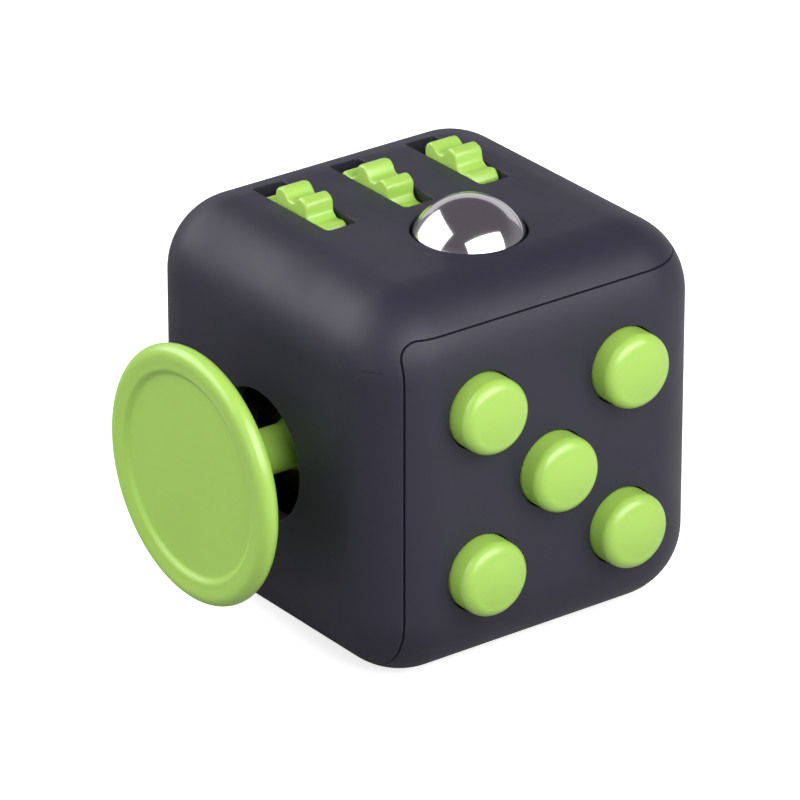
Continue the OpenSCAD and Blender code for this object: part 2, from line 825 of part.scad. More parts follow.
// Rocker about its pin, in the middle of its swing
module rocker_shape() {
    rise = tan(flip_angle / 2);
    rotate([0, -90, 0]) translate([0, 0, -rocker_w / 2]) difference() {
        linear_extrude(height = rocker_w) intersection() {
            circle(r = rocker_r, $fn = 96);
            union() {
                polygon([
                    [rocker_crest, 0],
                    [rocker_crest + rocker_r * rise, rocker_r],
                    [-1.5, rocker_r],
                    [-1.5, -rocker_r],
                    [rocker_crest + rocker_r * rise, -rocker_r]
                ]);
                intersection() {
                    circle(r = cam_r, $fn = 96);
                    translate([-cam_r, -2.2]) square([cam_r, 4.4]);
                }
            }
        }
        translate([0, 0, -1]) cylinder(r = pin_r + running, h = rocker_w + 2);
        for (side = [-1, 1]) {
            rotate([0, 0, side * flip_angle / 2]) translate([-bump_at, 0, -1])
                cylinder(r = bump_r + running, h = rocker_w + 2, $fn = 32);
        }
    }
}

module rocker() {
    color(lime) on_back() translate([0, 0, -pin_depth]) rotate([flip_angle / 2, 0, 0])
        rocker_shape();
}

module rocker_pin() {
    reach = rocker_side + rocker_ear_w - 0.1;
    color(steel) on_back() translate([-reach, 0, -pin_depth]) rotate([0, 90, 0])
        cylinder(r = pin_r, h = 2 * reach);
}

module rocker_housing() {
    outer_x = 2 * (rocker_side + rocker_ear_w);
    outer_y = 2 * (rocker_well + rocker_wall);
    color(black) on_back() difference() {
        union() {
            slab(outer_x, outer_y, wall + 0.02, rocker_floor + rocker_floor_t);
            slab(2 * rocker_screw_x, 2 * boss_r, rocker_lug_top, rocker_lug_top + rocker_lug_t);
            for (x = [-1, 1]) {
                translate([x * rocker_screw_x, 0, 0])
                    post(boss_r, rocker_lug_top, rocker_lug_top + rocker_lug_t);
            }
        }
        slab(2 * rocker_side, 2 * rocker_well, wall - 1, leaf_top + leaf_t);
        slab(2 * rocker_side, 2 * (rocker_well - 1.2), wall, rocker_floor);
        translate([-half / 2, 0, -pin_depth]) rotate([0, 90, 0]) cylinder(r = pin_r, h = half);
        for (x = [-1, 1]) {
            translate([x * rocker_screw_x, 0, 0])
                post(screw_r + 0.1, rocker_lug_top - 1, rocker_lug_top + rocker_lug_t + 1);
        }
    }
}

// Leaf spring across the well: its bump rests in one of the rocker's two grooves
module rocker_click_spring() {
    leaf_w = 3.6;
    color(steel) on_back() {
        slab(leaf_w, 2 * rocker_well - 0.2, leaf_top, leaf_top + leaf_t);
        translate([-leaf_w / 2, 0, -pin_depth - bump_at]) rotate([0, 90, 0])
            cylinder(r = bump_r, h = leaf_w, $fn = 32);
    }
}

module rocker_housing_screws() {
    color(steel) on_back() for (x = [-1, 1]) {
        translate([x * rocker_screw_x, 0, -rocker_lug_top - rocker_lug_t]) screw(2.6);
    }
}

// ---------------------------------------------------------------- spin face

module dial() {
    rim = 0.6;
    dimple_r = 4.2;
    dimple_at = dial_r * 0.5;
    color(lime) on_right() difference() {
        union() {
            rotate_extrude($fn = 96) {
                translate([0, -dial_under]) square([dial_r, dial_under + dial_proud - rim]);
                translate([dial_r - rim, dial_proud - rim]) circle(r = rim);
                translate([0, -dial_under]) square([dial_r - rim, dial_under + dial_proud]);
            }
            post(hub_r, 0, hub_bottom);
        }
        translate([dimple_at, 0, dial_proud + dimple_r - 1]) sphere(r = dimple_r, $fn = 64);
        translate([0, 0, -hub_bottom - 1]) cylinder(r = screw_r + 0.02, h = 3.4);
    }
}

module dial_washer() {
    color(white) on_right() difference() {
        post(washer_r, hub_bottom, hub_bottom + washer_t);
        post(screw_r + 0.1, hub_bottom - 1, hub_bottom + washer_t + 1);
    }
}

module dial_screw() {
    color(steel) on_right() translate([0, 0, -hub_bottom - washer_t]) screw(2.8);
}

shell_front_half();
shell_rear_half();
button(button_places[0]);  // button_top_left
button(button_places[1]);  // button_top_right
button(button_places[2]);  // button_centre
button(button_places[3]);  // button_bottom_left
button(button_places[4]);  // button_bottom_right
button_dome_pad();
click_snap_domes();
click_backplate();
click_plate_screws();
toothed_wheel(0);  // wheel_left
toothed_wheel(1);  // wheel_middle
toothed_wheel(2);  // wheel_right
wheel_axle();
wheel_bracket();
wheel_click_spring();
wheel_bracket_screws();
roll_ball();
ball_seat();
ball_cup();
ball_spring();
ball_snap_dome();
ball_housing();
ball_housing_screws();
stick_disc();
stick_stem();
stick_cup();
stick_spring();
stick_socket_ring();
stick_housing();
stick_housing_screws();
rocker();
rocker_pin();
rocker_housing();
rocker_click_spring();
rocker_housing_screws();
dial();
dial_washer();
dial_screw();
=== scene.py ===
"""A fidget cube with its finishes, on a pale floor in a soft studio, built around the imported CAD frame.

Sizes are in millimetres until a mesh is complete, and then it is scaled to metres. Every face of the cube
has a local frame: X and Y lie in the face, +Z points out of it, and Z = 0 is the outer surface.
"""

import json
import logging
import math
from dataclasses import dataclass, field
from enum import Enum
from typing import Iterable, Sequence

import bmesh
import bpy
from mathutils import Euler, Matrix, Vector


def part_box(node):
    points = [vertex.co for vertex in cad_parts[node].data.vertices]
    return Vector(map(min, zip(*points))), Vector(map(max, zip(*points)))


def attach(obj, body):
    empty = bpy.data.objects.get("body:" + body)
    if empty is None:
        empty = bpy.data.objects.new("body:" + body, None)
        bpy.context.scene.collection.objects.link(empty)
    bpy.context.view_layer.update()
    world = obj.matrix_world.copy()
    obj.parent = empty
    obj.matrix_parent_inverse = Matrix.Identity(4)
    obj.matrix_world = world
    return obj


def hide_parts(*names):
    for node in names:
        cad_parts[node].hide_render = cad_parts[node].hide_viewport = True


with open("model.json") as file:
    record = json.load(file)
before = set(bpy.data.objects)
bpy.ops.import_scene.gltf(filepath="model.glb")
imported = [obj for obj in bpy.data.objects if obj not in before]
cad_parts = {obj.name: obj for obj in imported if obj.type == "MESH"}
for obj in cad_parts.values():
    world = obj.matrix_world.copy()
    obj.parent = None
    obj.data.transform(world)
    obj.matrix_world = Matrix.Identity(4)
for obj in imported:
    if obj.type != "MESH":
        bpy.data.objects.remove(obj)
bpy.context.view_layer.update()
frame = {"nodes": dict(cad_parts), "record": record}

log = logging.getLogger("fidget_cube")

MM = 0.001
Outline = list[tuple[float, float]]
Ring = list[tuple[float, float, float]]
Color = tuple[float, float, float]

BUTTONS = (
    "button_top_left",
    "button_top_right",
    "button_centre",
    "button_bottom_left",
    "button_bottom_right",
)
WHEELS = ("wheel_left", "wheel_middle", "wheel_right")


# ---------------------------------------------------------------- the cube's own frame


class Side(Enum):
    """A face of the cube, with the turn in degrees that points local +Z out of it."""

    TOP = (0, 0, 0)
    BOTTOM = (180, 0, 0)
    FRONT = (90, 0, 0)
    BACK = (90, 0, 180)
    LEFT = (90, 0, -90)
    RIGHT = (90, 0, 90)

    def turn(self) -> Matrix:
        """Returns the rotation from the face's local frame to the cube's frame."""
        return Euler([math.radians(a) for a in self.value], "XYZ").to_matrix().to_4x4()


def box_mm(node: str) -> tuple[Vector, Vector]:
    """Reads a CAD node's box.

    Args:
        node: name of the CAD node.

    Returns:
        Its lowest and highest corners, in millimetres.
    """
    low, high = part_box(node)
    return low / MM, high / MM


def body_of(node: str) -> str:
    """Returns the name of the CAD body that a node belongs to."""
    bodies = frame["record"]["behaviour"]["bodies"]
    return next(body for body, members in bodies.items() if node in members)


def middle_mm(node: str) -> Vector:
    """Returns the middle of a CAD node's box, in millimetres."""
    low, high = box_mm(node)
    return (low + high) / 2


@dataclass(frozen=True)
class CubeFrame:
    """The casing's box, and the local frame of each of its faces.

    Args:
        half: distance from the cube's middle to each face.
        centre: the cube's middle.
    """

    half: float
    centre: Vector

    @classmethod
    def from_cad(cls) -> "CubeFrame":
        """Measures the two casing halves.

        Returns:
            The frame of the cube that they make.
        """
        rear_low, rear_high = box_mm("shell_rear_half")
        front_low, front_high = box_mm("shell_front_half")
        low = Vector([min(a, b) for a, b in zip(rear_low, front_low)])
        high = Vector([max(a, b) for a, b in zip(rear_high, front_high)])
        return cls(half=(high.x - low.x) / 2, centre=(low + high) / 2)

    def on(self, side: Side) -> Matrix:
        """The place of a face.

        Args:
            side: the face.

        Returns:
            The matrix from its local frame to the cube's frame.
        """
        turn = side.turn()
        outward = turn @ Vector((0, 0, 1))
        return Matrix.Translation(self.centre + outward * self.half) @ turn

    def local(self, side: Side, point: Vector) -> Vector:
        """Returns a point of the cube's frame in a face's local frame."""
        return self.on(side).inverted() @ point


# ---------------------------------------------------------------- mesh code


def arc(x: float, y: float, radius: float, start: float, end: float, steps: int = 6) -> Outline:
    """Points along an arc.

    Args:
        x, y: centre of the arc.
        radius: its radius.
        start, end: its first and last angle in degrees, from +X towards +Y.
        steps: number of straight pieces.

    Returns:
        steps + 1 points.
    """
    angles = [math.radians(start + (end - start) * i / steps) for i in range(steps + 1)]
    return [(x + radius * math.cos(a), y + radius * math.sin(a)) for a in angles]


def ease(x0: float, y0: float, x1: float, y1: float, steps: int = 8) -> Outline:
    """Points along an S-shaped run that leaves and arrives level in Y.

    Args:
        x0, y0: its first point.
        x1, y1: its last point.
        steps: number of straight pieces.

    Returns:
        steps + 1 points from (x0, y0) to (x1, y1).
    """
    shares = [i / steps for i in range(steps + 1)]
    return [(x0 + (x1 - x0) * s, y0 + (y1 - y0) * (1 - math.cos(math.pi * s)) / 2) for s in shares]


def rounded_rectangle(width: float, length: float, radius: float, steps: int = 6) -> Outline:
    """Outline of a rectangle with round corners, centred on the origin.

    Args:
        width, length: its sizes along X and Y.
        radius: radius of its corners.
        steps: number of straight pieces in each corner.

    Returns:
        4 * (steps + 1) points, anticlockwise.
    """
    x = width / 2 - radius
    y = length / 2 - radius
    return (
        arc(x, y, radius, 0, 90, steps)
        + arc(-x, y, radius, 90, 180, steps)
        + arc(-x, -y, radius, 180, 270, steps)
        + arc(x, -y, radius, 270, 360, steps)
    )


def link(name: str, mesh: bpy.types.Mesh) -> bpy.types.Object:
    """Returns a new object in the scene that shows the mesh."""
    obj = bpy.data.objects.new(name, mesh)
    bpy.context.scene.collection.objects.link(obj)
    return obj


def from_bmesh(name: str, bm: bmesh.types.BMesh) -> bpy.types.Object:
    """Turns a closed bmesh into an object whose faces all point outwards.

    Args:
        name: name of the object and its mesh.
        bm: the bmesh, which is used up.

    Returns:
        The object.
    """
    bmesh.ops.remove_doubles(bm, verts=bm.verts, dist=1e-5)
    bmesh.ops.recalc_face_normals(bm, faces=bm.faces)
    mesh = bpy.data.meshes.new(name)
    bm.to_mesh(mesh)
    bm.free()
    return link(name, mesh)


def skin(name: str, rings: Sequence[Ring], closed: bool = False) -> bpy.types.Object:
    """Covers a row of rings with faces.

    Args:
        name: name of the object.
        rings: rings of equal length, or of one point where the surface ends in a pole.
        closed: True joins the last ring to the first, and False caps both ends.

    Returns:
        The closed solid.
    """
    bm = bmesh.new()
    rows = [[bm.verts.new(point) for point in ring] for ring in rings]
    pairs = list(zip(rows, rows[1:]))
    if closed:
        pairs.append((rows[-1], rows[0]))
    for lower, upper in pairs:
        count = max(len(lower), len(upper))
        for i in range(count):
            j = (i + 1) % count
            corners = [row[k % len(row)] for row, k in ((lower, i), (lower, j), (upper, j), (upper, i))]
            bm.faces.new(list(dict.fromkeys(corners)))
    if not closed:
        for row in (rows[0], rows[-1]):
            if len(row) > 2:
                bm.faces.new(row)
    return from_bmesh(name, bm)


def lathe(name: str, outline: Outline, steps: int = 96, closed: bool = False) -> bpy.types.Object:
    """Turns an outline of (radius, z) points about the Z axis.

    Args:
        name: name of the object.
        outline: the points in order; a radius of 0 is a pole.
        steps: number of points round the axis.
        closed: True for a ring, whose outline comes back to its first point.

    Returns:
        The turned solid.
    """
    angles = [2 * math.pi * i / steps for i in range(steps)]
    circle = [(math.cos(a), math.sin(a)) for a in angles]
    rings = [[(0, 0, z)] if r < 1e-6 else [(r * c, r * s, z) for c, s in circle] for r, z in outline]
    return skin(name, rings, closed)


def loft(name: str, levels: Sequence[tuple[Outline, float]]) -> bpy.types.Object:
    """Joins outlines of equal length that lie at different heights.

    Args:
        name: name of the object.
        levels: pairs of an outline and its height.

    Returns:
        The closed solid.
    """
    return skin(name, [[(x, y, z) for x, y in outline] for outline, z in levels])


def block(name: str, low: Sequence[float], high: Sequence[float]) -> bpy.types.Object:
    """Returns a box between two corners, used to add to or cut away from another solid."""
    corners = [(low[0], low[1]), (high[0], low[1]), (high[0], high[1]), (low[0], high[1])]
    return loft(name, [(corners, low[2]), (corners, high[2])])


def post(name: str, radius: float, top: float, bottom: float, steps: int = 48) -> bpy.types.Object:
    """Returns a round post about Z between two heights, used to add to or cut away from another solid."""
    return lathe(name, [(0, bottom), (radius, bottom), (radius, top), (0, top)], steps)


def rounded_box(name: str, half: float, radius: float, steps: int) -> bpy.types.Object:
    """A cube with round edges and corners, centred on the origin, or a ball where half equals radius.

    Args:
        name: name of the object.
        half: distance from the middle to each face.
        radius: radius of the edges.
        steps: number of rows of faces in half of each rounded edge.

    Returns:
        The closed solid, made of four-sided faces.
    """
    core = half - radius
    ticks = [core + radius * math.tan(math.pi / 4 * i / steps) for i in range(steps + 1)]
    line = sorted({round(sign * t, 9) for t in ticks for sign in (-1, 1)})
    bm = bmesh.new()
    for axis in range(3):
        for sign in (-1, 1):
            grid = []
            for u in line:
                row = []
                for v in line:
                    raw = [0.0, 0.0, 0.0]
                    raw[axis], raw[(axis + 1) % 3], raw[(axis + 2) % 3] = sign * half, u, v
                    inner = Vector([max(-core, min(core, c)) for c in raw])
                    row.append(bm.verts.new(inner + (Vector(raw) - inner).normalized() * radius))
                grid.append(row)
            for i in range(len(line) - 1):
                for j in range(len(line) - 1):
                    bm.faces.new((grid[i][j], grid[i + 1][j], grid[i + 1][j + 1], grid[i][j + 1]))
    return from_bmesh(name, bm)


def place(obj: bpy.types.Object, matrix: Matrix) -> bpy.types.Object:
    """Moves an object's mesh, so that the object itself stays at the origin.

    Args:
        obj: the object.
        matrix: the move, which may mirror.

    Returns:
        The object.
    """
    obj.data.transform(matrix)
    if matrix.determinant() < 0:
        obj.data.flip_normals()
    return obj


def bake_modifiers(obj: bpy.types.Object) -> None:
    """Replaces an object's mesh with what its modifiers make of it.

    Args:
        obj: the object, whose modifiers are used up.
    """
    graph = bpy.context.evaluated_depsgraph_get()
    mesh = bpy.data.meshes.new_from_object(obj.evaluated_get(graph), depsgraph=graph)
    old = obj.data
    obj.modifiers.clear()
    obj.data = mesh
    mesh.name = obj.name
    bpy.data.meshes.remove(old)


class Cut(Enum):
    """How a tool works on a solid."""

    AWAY = "DIFFERENCE"
    ADD = "UNION"
    KEEP = "INTERSECT"


def work(target: bpy.types.Object, how: Cut, tools: Iterable[bpy.types.Object]) -> bpy.types.Object:
    """Cuts tools away from a solid, adds them to it, or keeps what they share with it.

    Args:
        target: the solid that changes.
        how: what the tools do to it.
        tools: closed solids, which are used up.

    Returns:
        The target.
    """
    used = list(tools)
    for tool in used:
        step = target.modifiers.new(tool.name, "BOOLEAN")
        step.operation = how.value
        step.solver = "MANIFOLD"
        step.object = tool
    bake_modifiers(target)
    for tool in used:
        mesh = tool.data
        bpy.data.objects.remove(tool)
        bpy.data.meshes.remove(mesh)
    return target


def soften(obj: bpy.types.Object, width: float, min_angle: float = 30, steps: int = 3) -> bpy.types.Object:
    """Rounds an object's sharp edges.

    Args:
        obj: the object.
        width: how far the rounding reaches from the edge.
        min_angle: edges that turn less than this many degrees stay as they are.
        steps: number of rows of faces in the rounding.

    Returns:
        The object.
    """
    bevel = obj.modifiers.new("edges", "BEVEL")
    bevel.width = width
    bevel.segments = steps
    bevel.limit_method = "ANGLE"
    bevel.angle_limit = math.radians(min_angle)
    bevel.use_clamp_overlap = True
    bake_modifiers(obj)
    return obj


def smooth(obj: bpy.types.Object, sharp_angle: float = 35) -> bpy.types.Object:
    """Scales a finished mesh to metres and gives it smooth shading that keeps its flats flat.

    Args:
        obj: the object, in millimetres.
        sharp_angle: edges that turn more than this many degrees stay crisp.

    Returns:
        The object.
    """
    obj.data.transform(Matrix.Scale(MM, 4))
    obj.data.shade_smooth()
    obj.data.set_sharp_from_angle(angle=math.radians(sharp_angle))
    weighted = obj.modifiers.new("flats", "WEIGHTED_NORMAL")
    weighted.keep_sharp = True
    weighted.weight = 80
    bake_modifiers(obj)
    return obj


# ---------------------------------------------------------------- shared material effects


class Nodes:
    """A small writer for node trees.

    Args:
        tree: the node tree that nodes are added to.
    """

    def __init__(self, tree: bpy.types.NodeTree) -> None:
        self.tree = tree

    def add(self, kind: str, **settings: object) -> bpy.types.Node:
        """Adds a node and sets its properties.

        Args:
            kind: Blender's name of the node type.
            settings: properties of the node.

        Returns:
            The node.
        """
        node = self.tree.nodes.new(kind)
        for key, value in settings.items():
            setattr(node, key, value)
        return node

    def feed(self, node: bpy.types.Node, **inputs: object) -> bpy.types.Node:
        """Connects sockets or sets values on a node's inputs.

        Args:
            node: the node.
            inputs: a socket or a value for each input, whose name has underscores for spaces.

        Returns:
            The node.
        """
        for key, value in inputs.items():
            socket = node.inputs[key.replace("_", " ")]
            if isinstance(value, bpy.types.NodeSocket):
                self.tree.links.new(value, socket)
            else:
                socket.default_value = value
        return node

    def math(self, operation: str, *values: object, clamp: bool = False) -> bpy.types.NodeSocket:
        """Adds a Math node.

        Args:
            operation: Blender's name of the operation.
            values: its inputs, as sockets or numbers.
            clamp: True keeps the result between 0 and 1.

        Returns:
            Its result.
        """
        node = self.add("ShaderNodeMath", operation=operation, use_clamp=clamp)
        for socket, value in zip(node.inputs, values):
            if isinstance(value, bpy.types.NodeSocket):
                self.tree.links.new(value, socket)
            else:
                socket.default_value = value
        return node.outputs[0]

    def noise(self, where: bpy.types.NodeSocket, scale: object, detail: float = 2) -> bpy.types.NodeSocket:
        """Adds a Noise texture.

        Args:
            where: the position that it is looked up at.
            scale: cells in a metre, as a socket or a number.
            detail: how much fine structure it has.

        Returns:
            Its value, from 0 to 1.
        """
        node = self.add("ShaderNodeTexNoise")
        self.feed(node, Vector=where, Scale=scale, Detail=detail)
        return node.outputs["Fac"]

    def mix(self, share: object, first: object, second: object, blend: str = "MIX") -> bpy.types.NodeSocket:
        """Adds a colour Mix node.

        Args:
            share: how much of the second colour shows.
            first, second: the colours, as sockets or values.
            blend: Blender's name of the way they mix.

        Returns:
            Its result.
        """
        node = self.add("ShaderNodeMix", data_type="RGBA", blend_type=blend)
        for socket, value in ((node.inputs[0], share), (node.inputs[6], first), (node.inputs[7], second)):
            if isinstance(value, bpy.types.NodeSocket):
                self.tree.links.new(value, socket)
            else:
                socket.default_value = value
        return node.outputs[2]

    def spread(self, value: bpy.types.NodeSocket, low: float, high: float) -> bpy.types.NodeSocket:
        """Stretches a range of a value onto 0 to 1, with soft ends.

        Args:
            value: the value.
            low, high: the ends of the range.

        Returns:
            The stretched value.
        """
        node = self.add("ShaderNodeMapRange", interpolation_type="SMOOTHSTEP")
        self.feed(node, Value=value, From_Min=low, From_Max=high)
        return node.outputs["Result"]


def new_group(name: str, inputs: dict[str, object], outputs: dict[str, str]) -> tuple[Nodes, dict, dict]:
    """Starts a shader node group with named sockets.

    Args:
        name: name of the group.
        inputs: each input's name and first value; a tuple of four numbers makes a colour.
        outputs: each output's name and socket type.

    Returns:
        The writer for the group, its inputs by name and its output sockets by name.
    """
    tree = bpy.data.node_groups.new(name, "ShaderNodeTree")
    for key, value in inputs.items():
        kind = "NodeSocketColor" if isinstance(value, tuple) else "NodeSocketFloat"
        tree.interface.new_socket(key, in_out="INPUT", socket_type=kind).default_value = value
    for key, kind in outputs.items():
        tree.interface.new_socket(key, in_out="OUTPUT", socket_type=kind)
    nodes = Nodes(tree)
    entry = nodes.add("NodeGroupInput")
    leave = nodes.add("NodeGroupOutput")
    return nodes, {s.name: s for s in entry.outputs if s.name}, {s.name: s for s in leave.inputs if s.name}


class Effects:
    """The node groups that the finishes share. Each is built once."""

    def __init__(self) -> None:
        self.moulded_grain = self._moulded_grain()
        self.tone_drift = self._tone_drift()
        self.edge_wear_and_highlight = self._edge_wear_and_highlight()
        self.handling = self._handling()
        self.brushed = self._brushed()

    @staticmethod
    def _moulded_grain() -> bpy.types.NodeTree:
        """Fine pitted grain of a textured mould or a soft coating: puts out its height.

        Returns:
            The group.
        """
        nodes, given, out = new_group(
            "moulded_grain", {"Cells per Metre": 9000.0, "Evenness": 0.5}, {"Height": "NodeSocketFloat"}
        )
        where = nodes.add("ShaderNodeTexCoord").outputs["Object"]
        fine = nodes.noise(where, given["Cells per Metre"], detail=3)
        pits = nodes.add("ShaderNodeTexVoronoi", feature="SMOOTH_F1")
        nodes.feed(pits, Vector=where, Scale=given["Cells per Metre"])
        both = nodes.add("ShaderNodeMix", data_type="FLOAT")
        nodes.feed(both, Factor=given["Evenness"], A=fine, B=pits.outputs["Distance"])
        nodes.tree.links.new(both.outputs["Result"], out["Height"])
        return nodes.tree

    @staticmethod
    def _tone_drift() -> bpy.types.NodeTree:
        """Slow change of brightness over a moulding: puts out the colour.

        Returns:
            The group.
        """
        nodes, given, out = new_group(
            "tone_drift",
            {"Color": (0.5, 0.5, 0.5, 1.0), "Patches per Metre": 90.0, "Amount": 0.06},
            {"Color": "NodeSocketColor"},
        )
        where = nodes.add("ShaderNodeTexCoord").outputs["Object"]
        slow = nodes.noise(where, given["Patches per Metre"], detail=3)
        swing = nodes.math("MULTIPLY", nodes.math("SUBTRACT", slow, 0.5), given["Amount"])
        gain = nodes.math("ADD", 1.0, nodes.math("MULTIPLY", swing, 2.0))
        tinted = nodes.add("ShaderNodeHueSaturation")
        nodes.feed(tinted, Color=given["Color"], Value=gain)
        nodes.tree.links.new(tinted.outputs["Color"], out["Color"])
        return nodes.tree

    @staticmethod
    def _edge_wear_and_highlight() -> bpy.types.NodeTree:
        """Where a surface turns sharply, broken up by noise, as rubbed edges and a painted edge highlight:
        puts out a mask from 0 to 1.

        Returns:
            The group.
        """
        nodes, given, out = new_group(
            "edge_wear_and_highlight", {"Reach": 0.0004, "Amount": 0.5}, {"Mask": "NodeSocketFloat"}
        )
        rounded = nodes.add("ShaderNodeBevel", samples=4)
        nodes.feed(rounded, Radius=given["Reach"])
        plain = nodes.add("ShaderNodeNewGeometry").outputs["Normal"]
        facing = nodes.add("ShaderNodeVectorMath", operation="DOT_PRODUCT")
        nodes.tree.links.new(rounded.outputs["Normal"], facing.inputs[0])
        nodes.tree.links.new(plain, facing.inputs[1])
        edge = nodes.spread(nodes.math("SUBTRACT", 1.0, facing.outputs["Value"]), 0.01, 0.16)
        where = nodes.add("ShaderNodeTexCoord").outputs["Object"]
        broken = nodes.spread(nodes.noise(where, 700.0, detail=4), 0.3, 0.7)
        mask = nodes.math("MULTIPLY", nodes.math("MULTIPLY", edge, broken), given["Amount"], clamp=True)
        nodes.tree.links.new(mask, out["Mask"])
        return nodes.tree

    @staticmethod
    def _handling() -> bpy.types.NodeTree:
        """Faint smears that fingers leave: puts out a roughness.

        Returns:
            The group.
        """
        nodes, given, out = new_group(
            "handling",
            {"Roughness": 0.5, "Smears": 0.1, "Smears per Metre": 160.0},
            {"Roughness": "NodeSocketFloat"},
        )
        where = nodes.add("ShaderNodeTexCoord").outputs["Object"]
        smear = nodes.spread(nodes.noise(where, given["Smears per Metre"], detail=5), 0.35, 0.75)
        swing = nodes.math("MULTIPLY", nodes.math("SUBTRACT", smear, 0.5), given["Smears"])
        nodes.tree.links.new(nodes.math("ADD", given["Roughness"], swing, clamp=True), out["Roughness"])
        return nodes.tree

    @staticmethod
    def _brushed() -> bpy.types.NodeTree:
        """Hair-fine lines left by polishing or rolling: puts out their height.

        Returns:
            The group.
        """
        nodes, given, out = new_group(
            "brushed", {"Lines per Metre": 4000.0, "Stretch": 0.05}, {"Height": "NodeSocketFloat"}
        )
        where = nodes.add("ShaderNodeTexCoord").outputs["Object"]
        squeeze = nodes.add("ShaderNodeCombineXYZ")
        nodes.feed(squeeze, X=1.0, Y=given["Stretch"], Z=1.0)
        stretched = nodes.add("ShaderNodeVectorMath", operation="MULTIPLY")
        nodes.tree.links.new(where, stretched.inputs[0])
        nodes.tree.links.new(squeeze.outputs[0], stretched.inputs[1])
        lines = nodes.noise(stretched.outputs[0], given["Lines per Metre"], detail=4)
        nodes.tree.links.new(lines, out["Height"])
        return nodes.tree


# ---------------------------------------------------------------- finishes


@dataclass(frozen=True)
class Finish:
    """What one material looks like.

    Args:
        slot: the record's material slot.
        color: base colour, linear red, green and blue.
        worn_and_lit_color: colour of rubbed edges, linear.
        roughness: 0 is a mirror and 1 is chalk.
        metallic: 1 for bare metal.
        specular: strength of the reflection of a plastic.
        grain: cells of surface texture in a metre.
        grain_depth: height of that texture, in metres.
        evenness: 0 for a cloudy grain and 1 for round pits.
        drift: share by which the brightness wanders.
        smears: share by which the roughness wanders.
        wear_and_highlight: strength of the rubbed edges and their painted highlight.
        brushed: True for drawn or polished metal.
        coat: strength of a clear gloss over the colour.
        glow: share of light that passes under the surface.
        glow_reach: how far it passes, in metres.
    """

    slot: str
    color: Color
    worn_and_lit_color: Color
    roughness: float
    metallic: float = 0.0
    specular: float = 0.5
    grain: float = 9000.0
    grain_depth: float = 0.000004
    evenness: float = 0.5
    drift: float = 0.06
    smears: float = 0.08
    wear_and_highlight: float = 0.3
    brushed: bool = False
    coat: float = 0.0
    glow: float = 0.0
    glow_reach: float = 0.0008

    def build(self, effects: Effects) -> bpy.types.Material:
        """Builds the material.

        Args:
            effects: the shared node groups.

        Returns:
            The material, named after its slot.
        """
        material = bpy.data.materials.new(self.slot)
        material.use_nodes = True
        nodes = Nodes(material.node_tree)
        shader = material.node_tree.nodes["Principled BSDF"]

        drift = nodes.add("ShaderNodeGroup", node_tree=effects.tone_drift)
        nodes.feed(drift, Color=(*self.color, 1.0), Amount=self.drift)
        # Rubbed edges, also lightened as a painted highlight where the surface rounds over.
        wear_and_highlight = nodes.add("ShaderNodeGroup", node_tree=effects.edge_wear_and_highlight)
        nodes.feed(wear_and_highlight, Amount=self.wear_and_highlight)
        color = nodes.mix(wear_and_highlight.outputs["Mask"], drift.outputs["Color"], (*self.worn_and_lit_color, 1.0))

        smears = nodes.add("ShaderNodeGroup", node_tree=effects.handling)
        nodes.feed(smears, Roughness=self.roughness, Smears=self.smears)

        if self.brushed:
            texture = nodes.add("ShaderNodeGroup", node_tree=effects.brushed)
            nodes.feed(texture, Lines_per_Metre=self.grain)
        else:
            texture = nodes.add("ShaderNodeGroup", node_tree=effects.moulded_grain)
            nodes.feed(texture, Cells_per_Metre=self.grain, Evenness=self.evenness)
        bump = nodes.add("ShaderNodeBump")
        nodes.feed(bump, Height=texture.outputs["Height"], Distance=self.grain_depth, Strength=1.0)

        nodes.feed(
            shader,
            Base_Color=color,
            Roughness=smears.outputs["Roughness"],
            Metallic=self.metallic,
            Normal=bump.outputs["Normal"],
            Specular_IOR_Level=self.specular,
            Coat_Weight=self.coat,
            Subsurface_Weight=self.glow,
            Subsurface_Scale=self.glow_reach,
        )
        return material


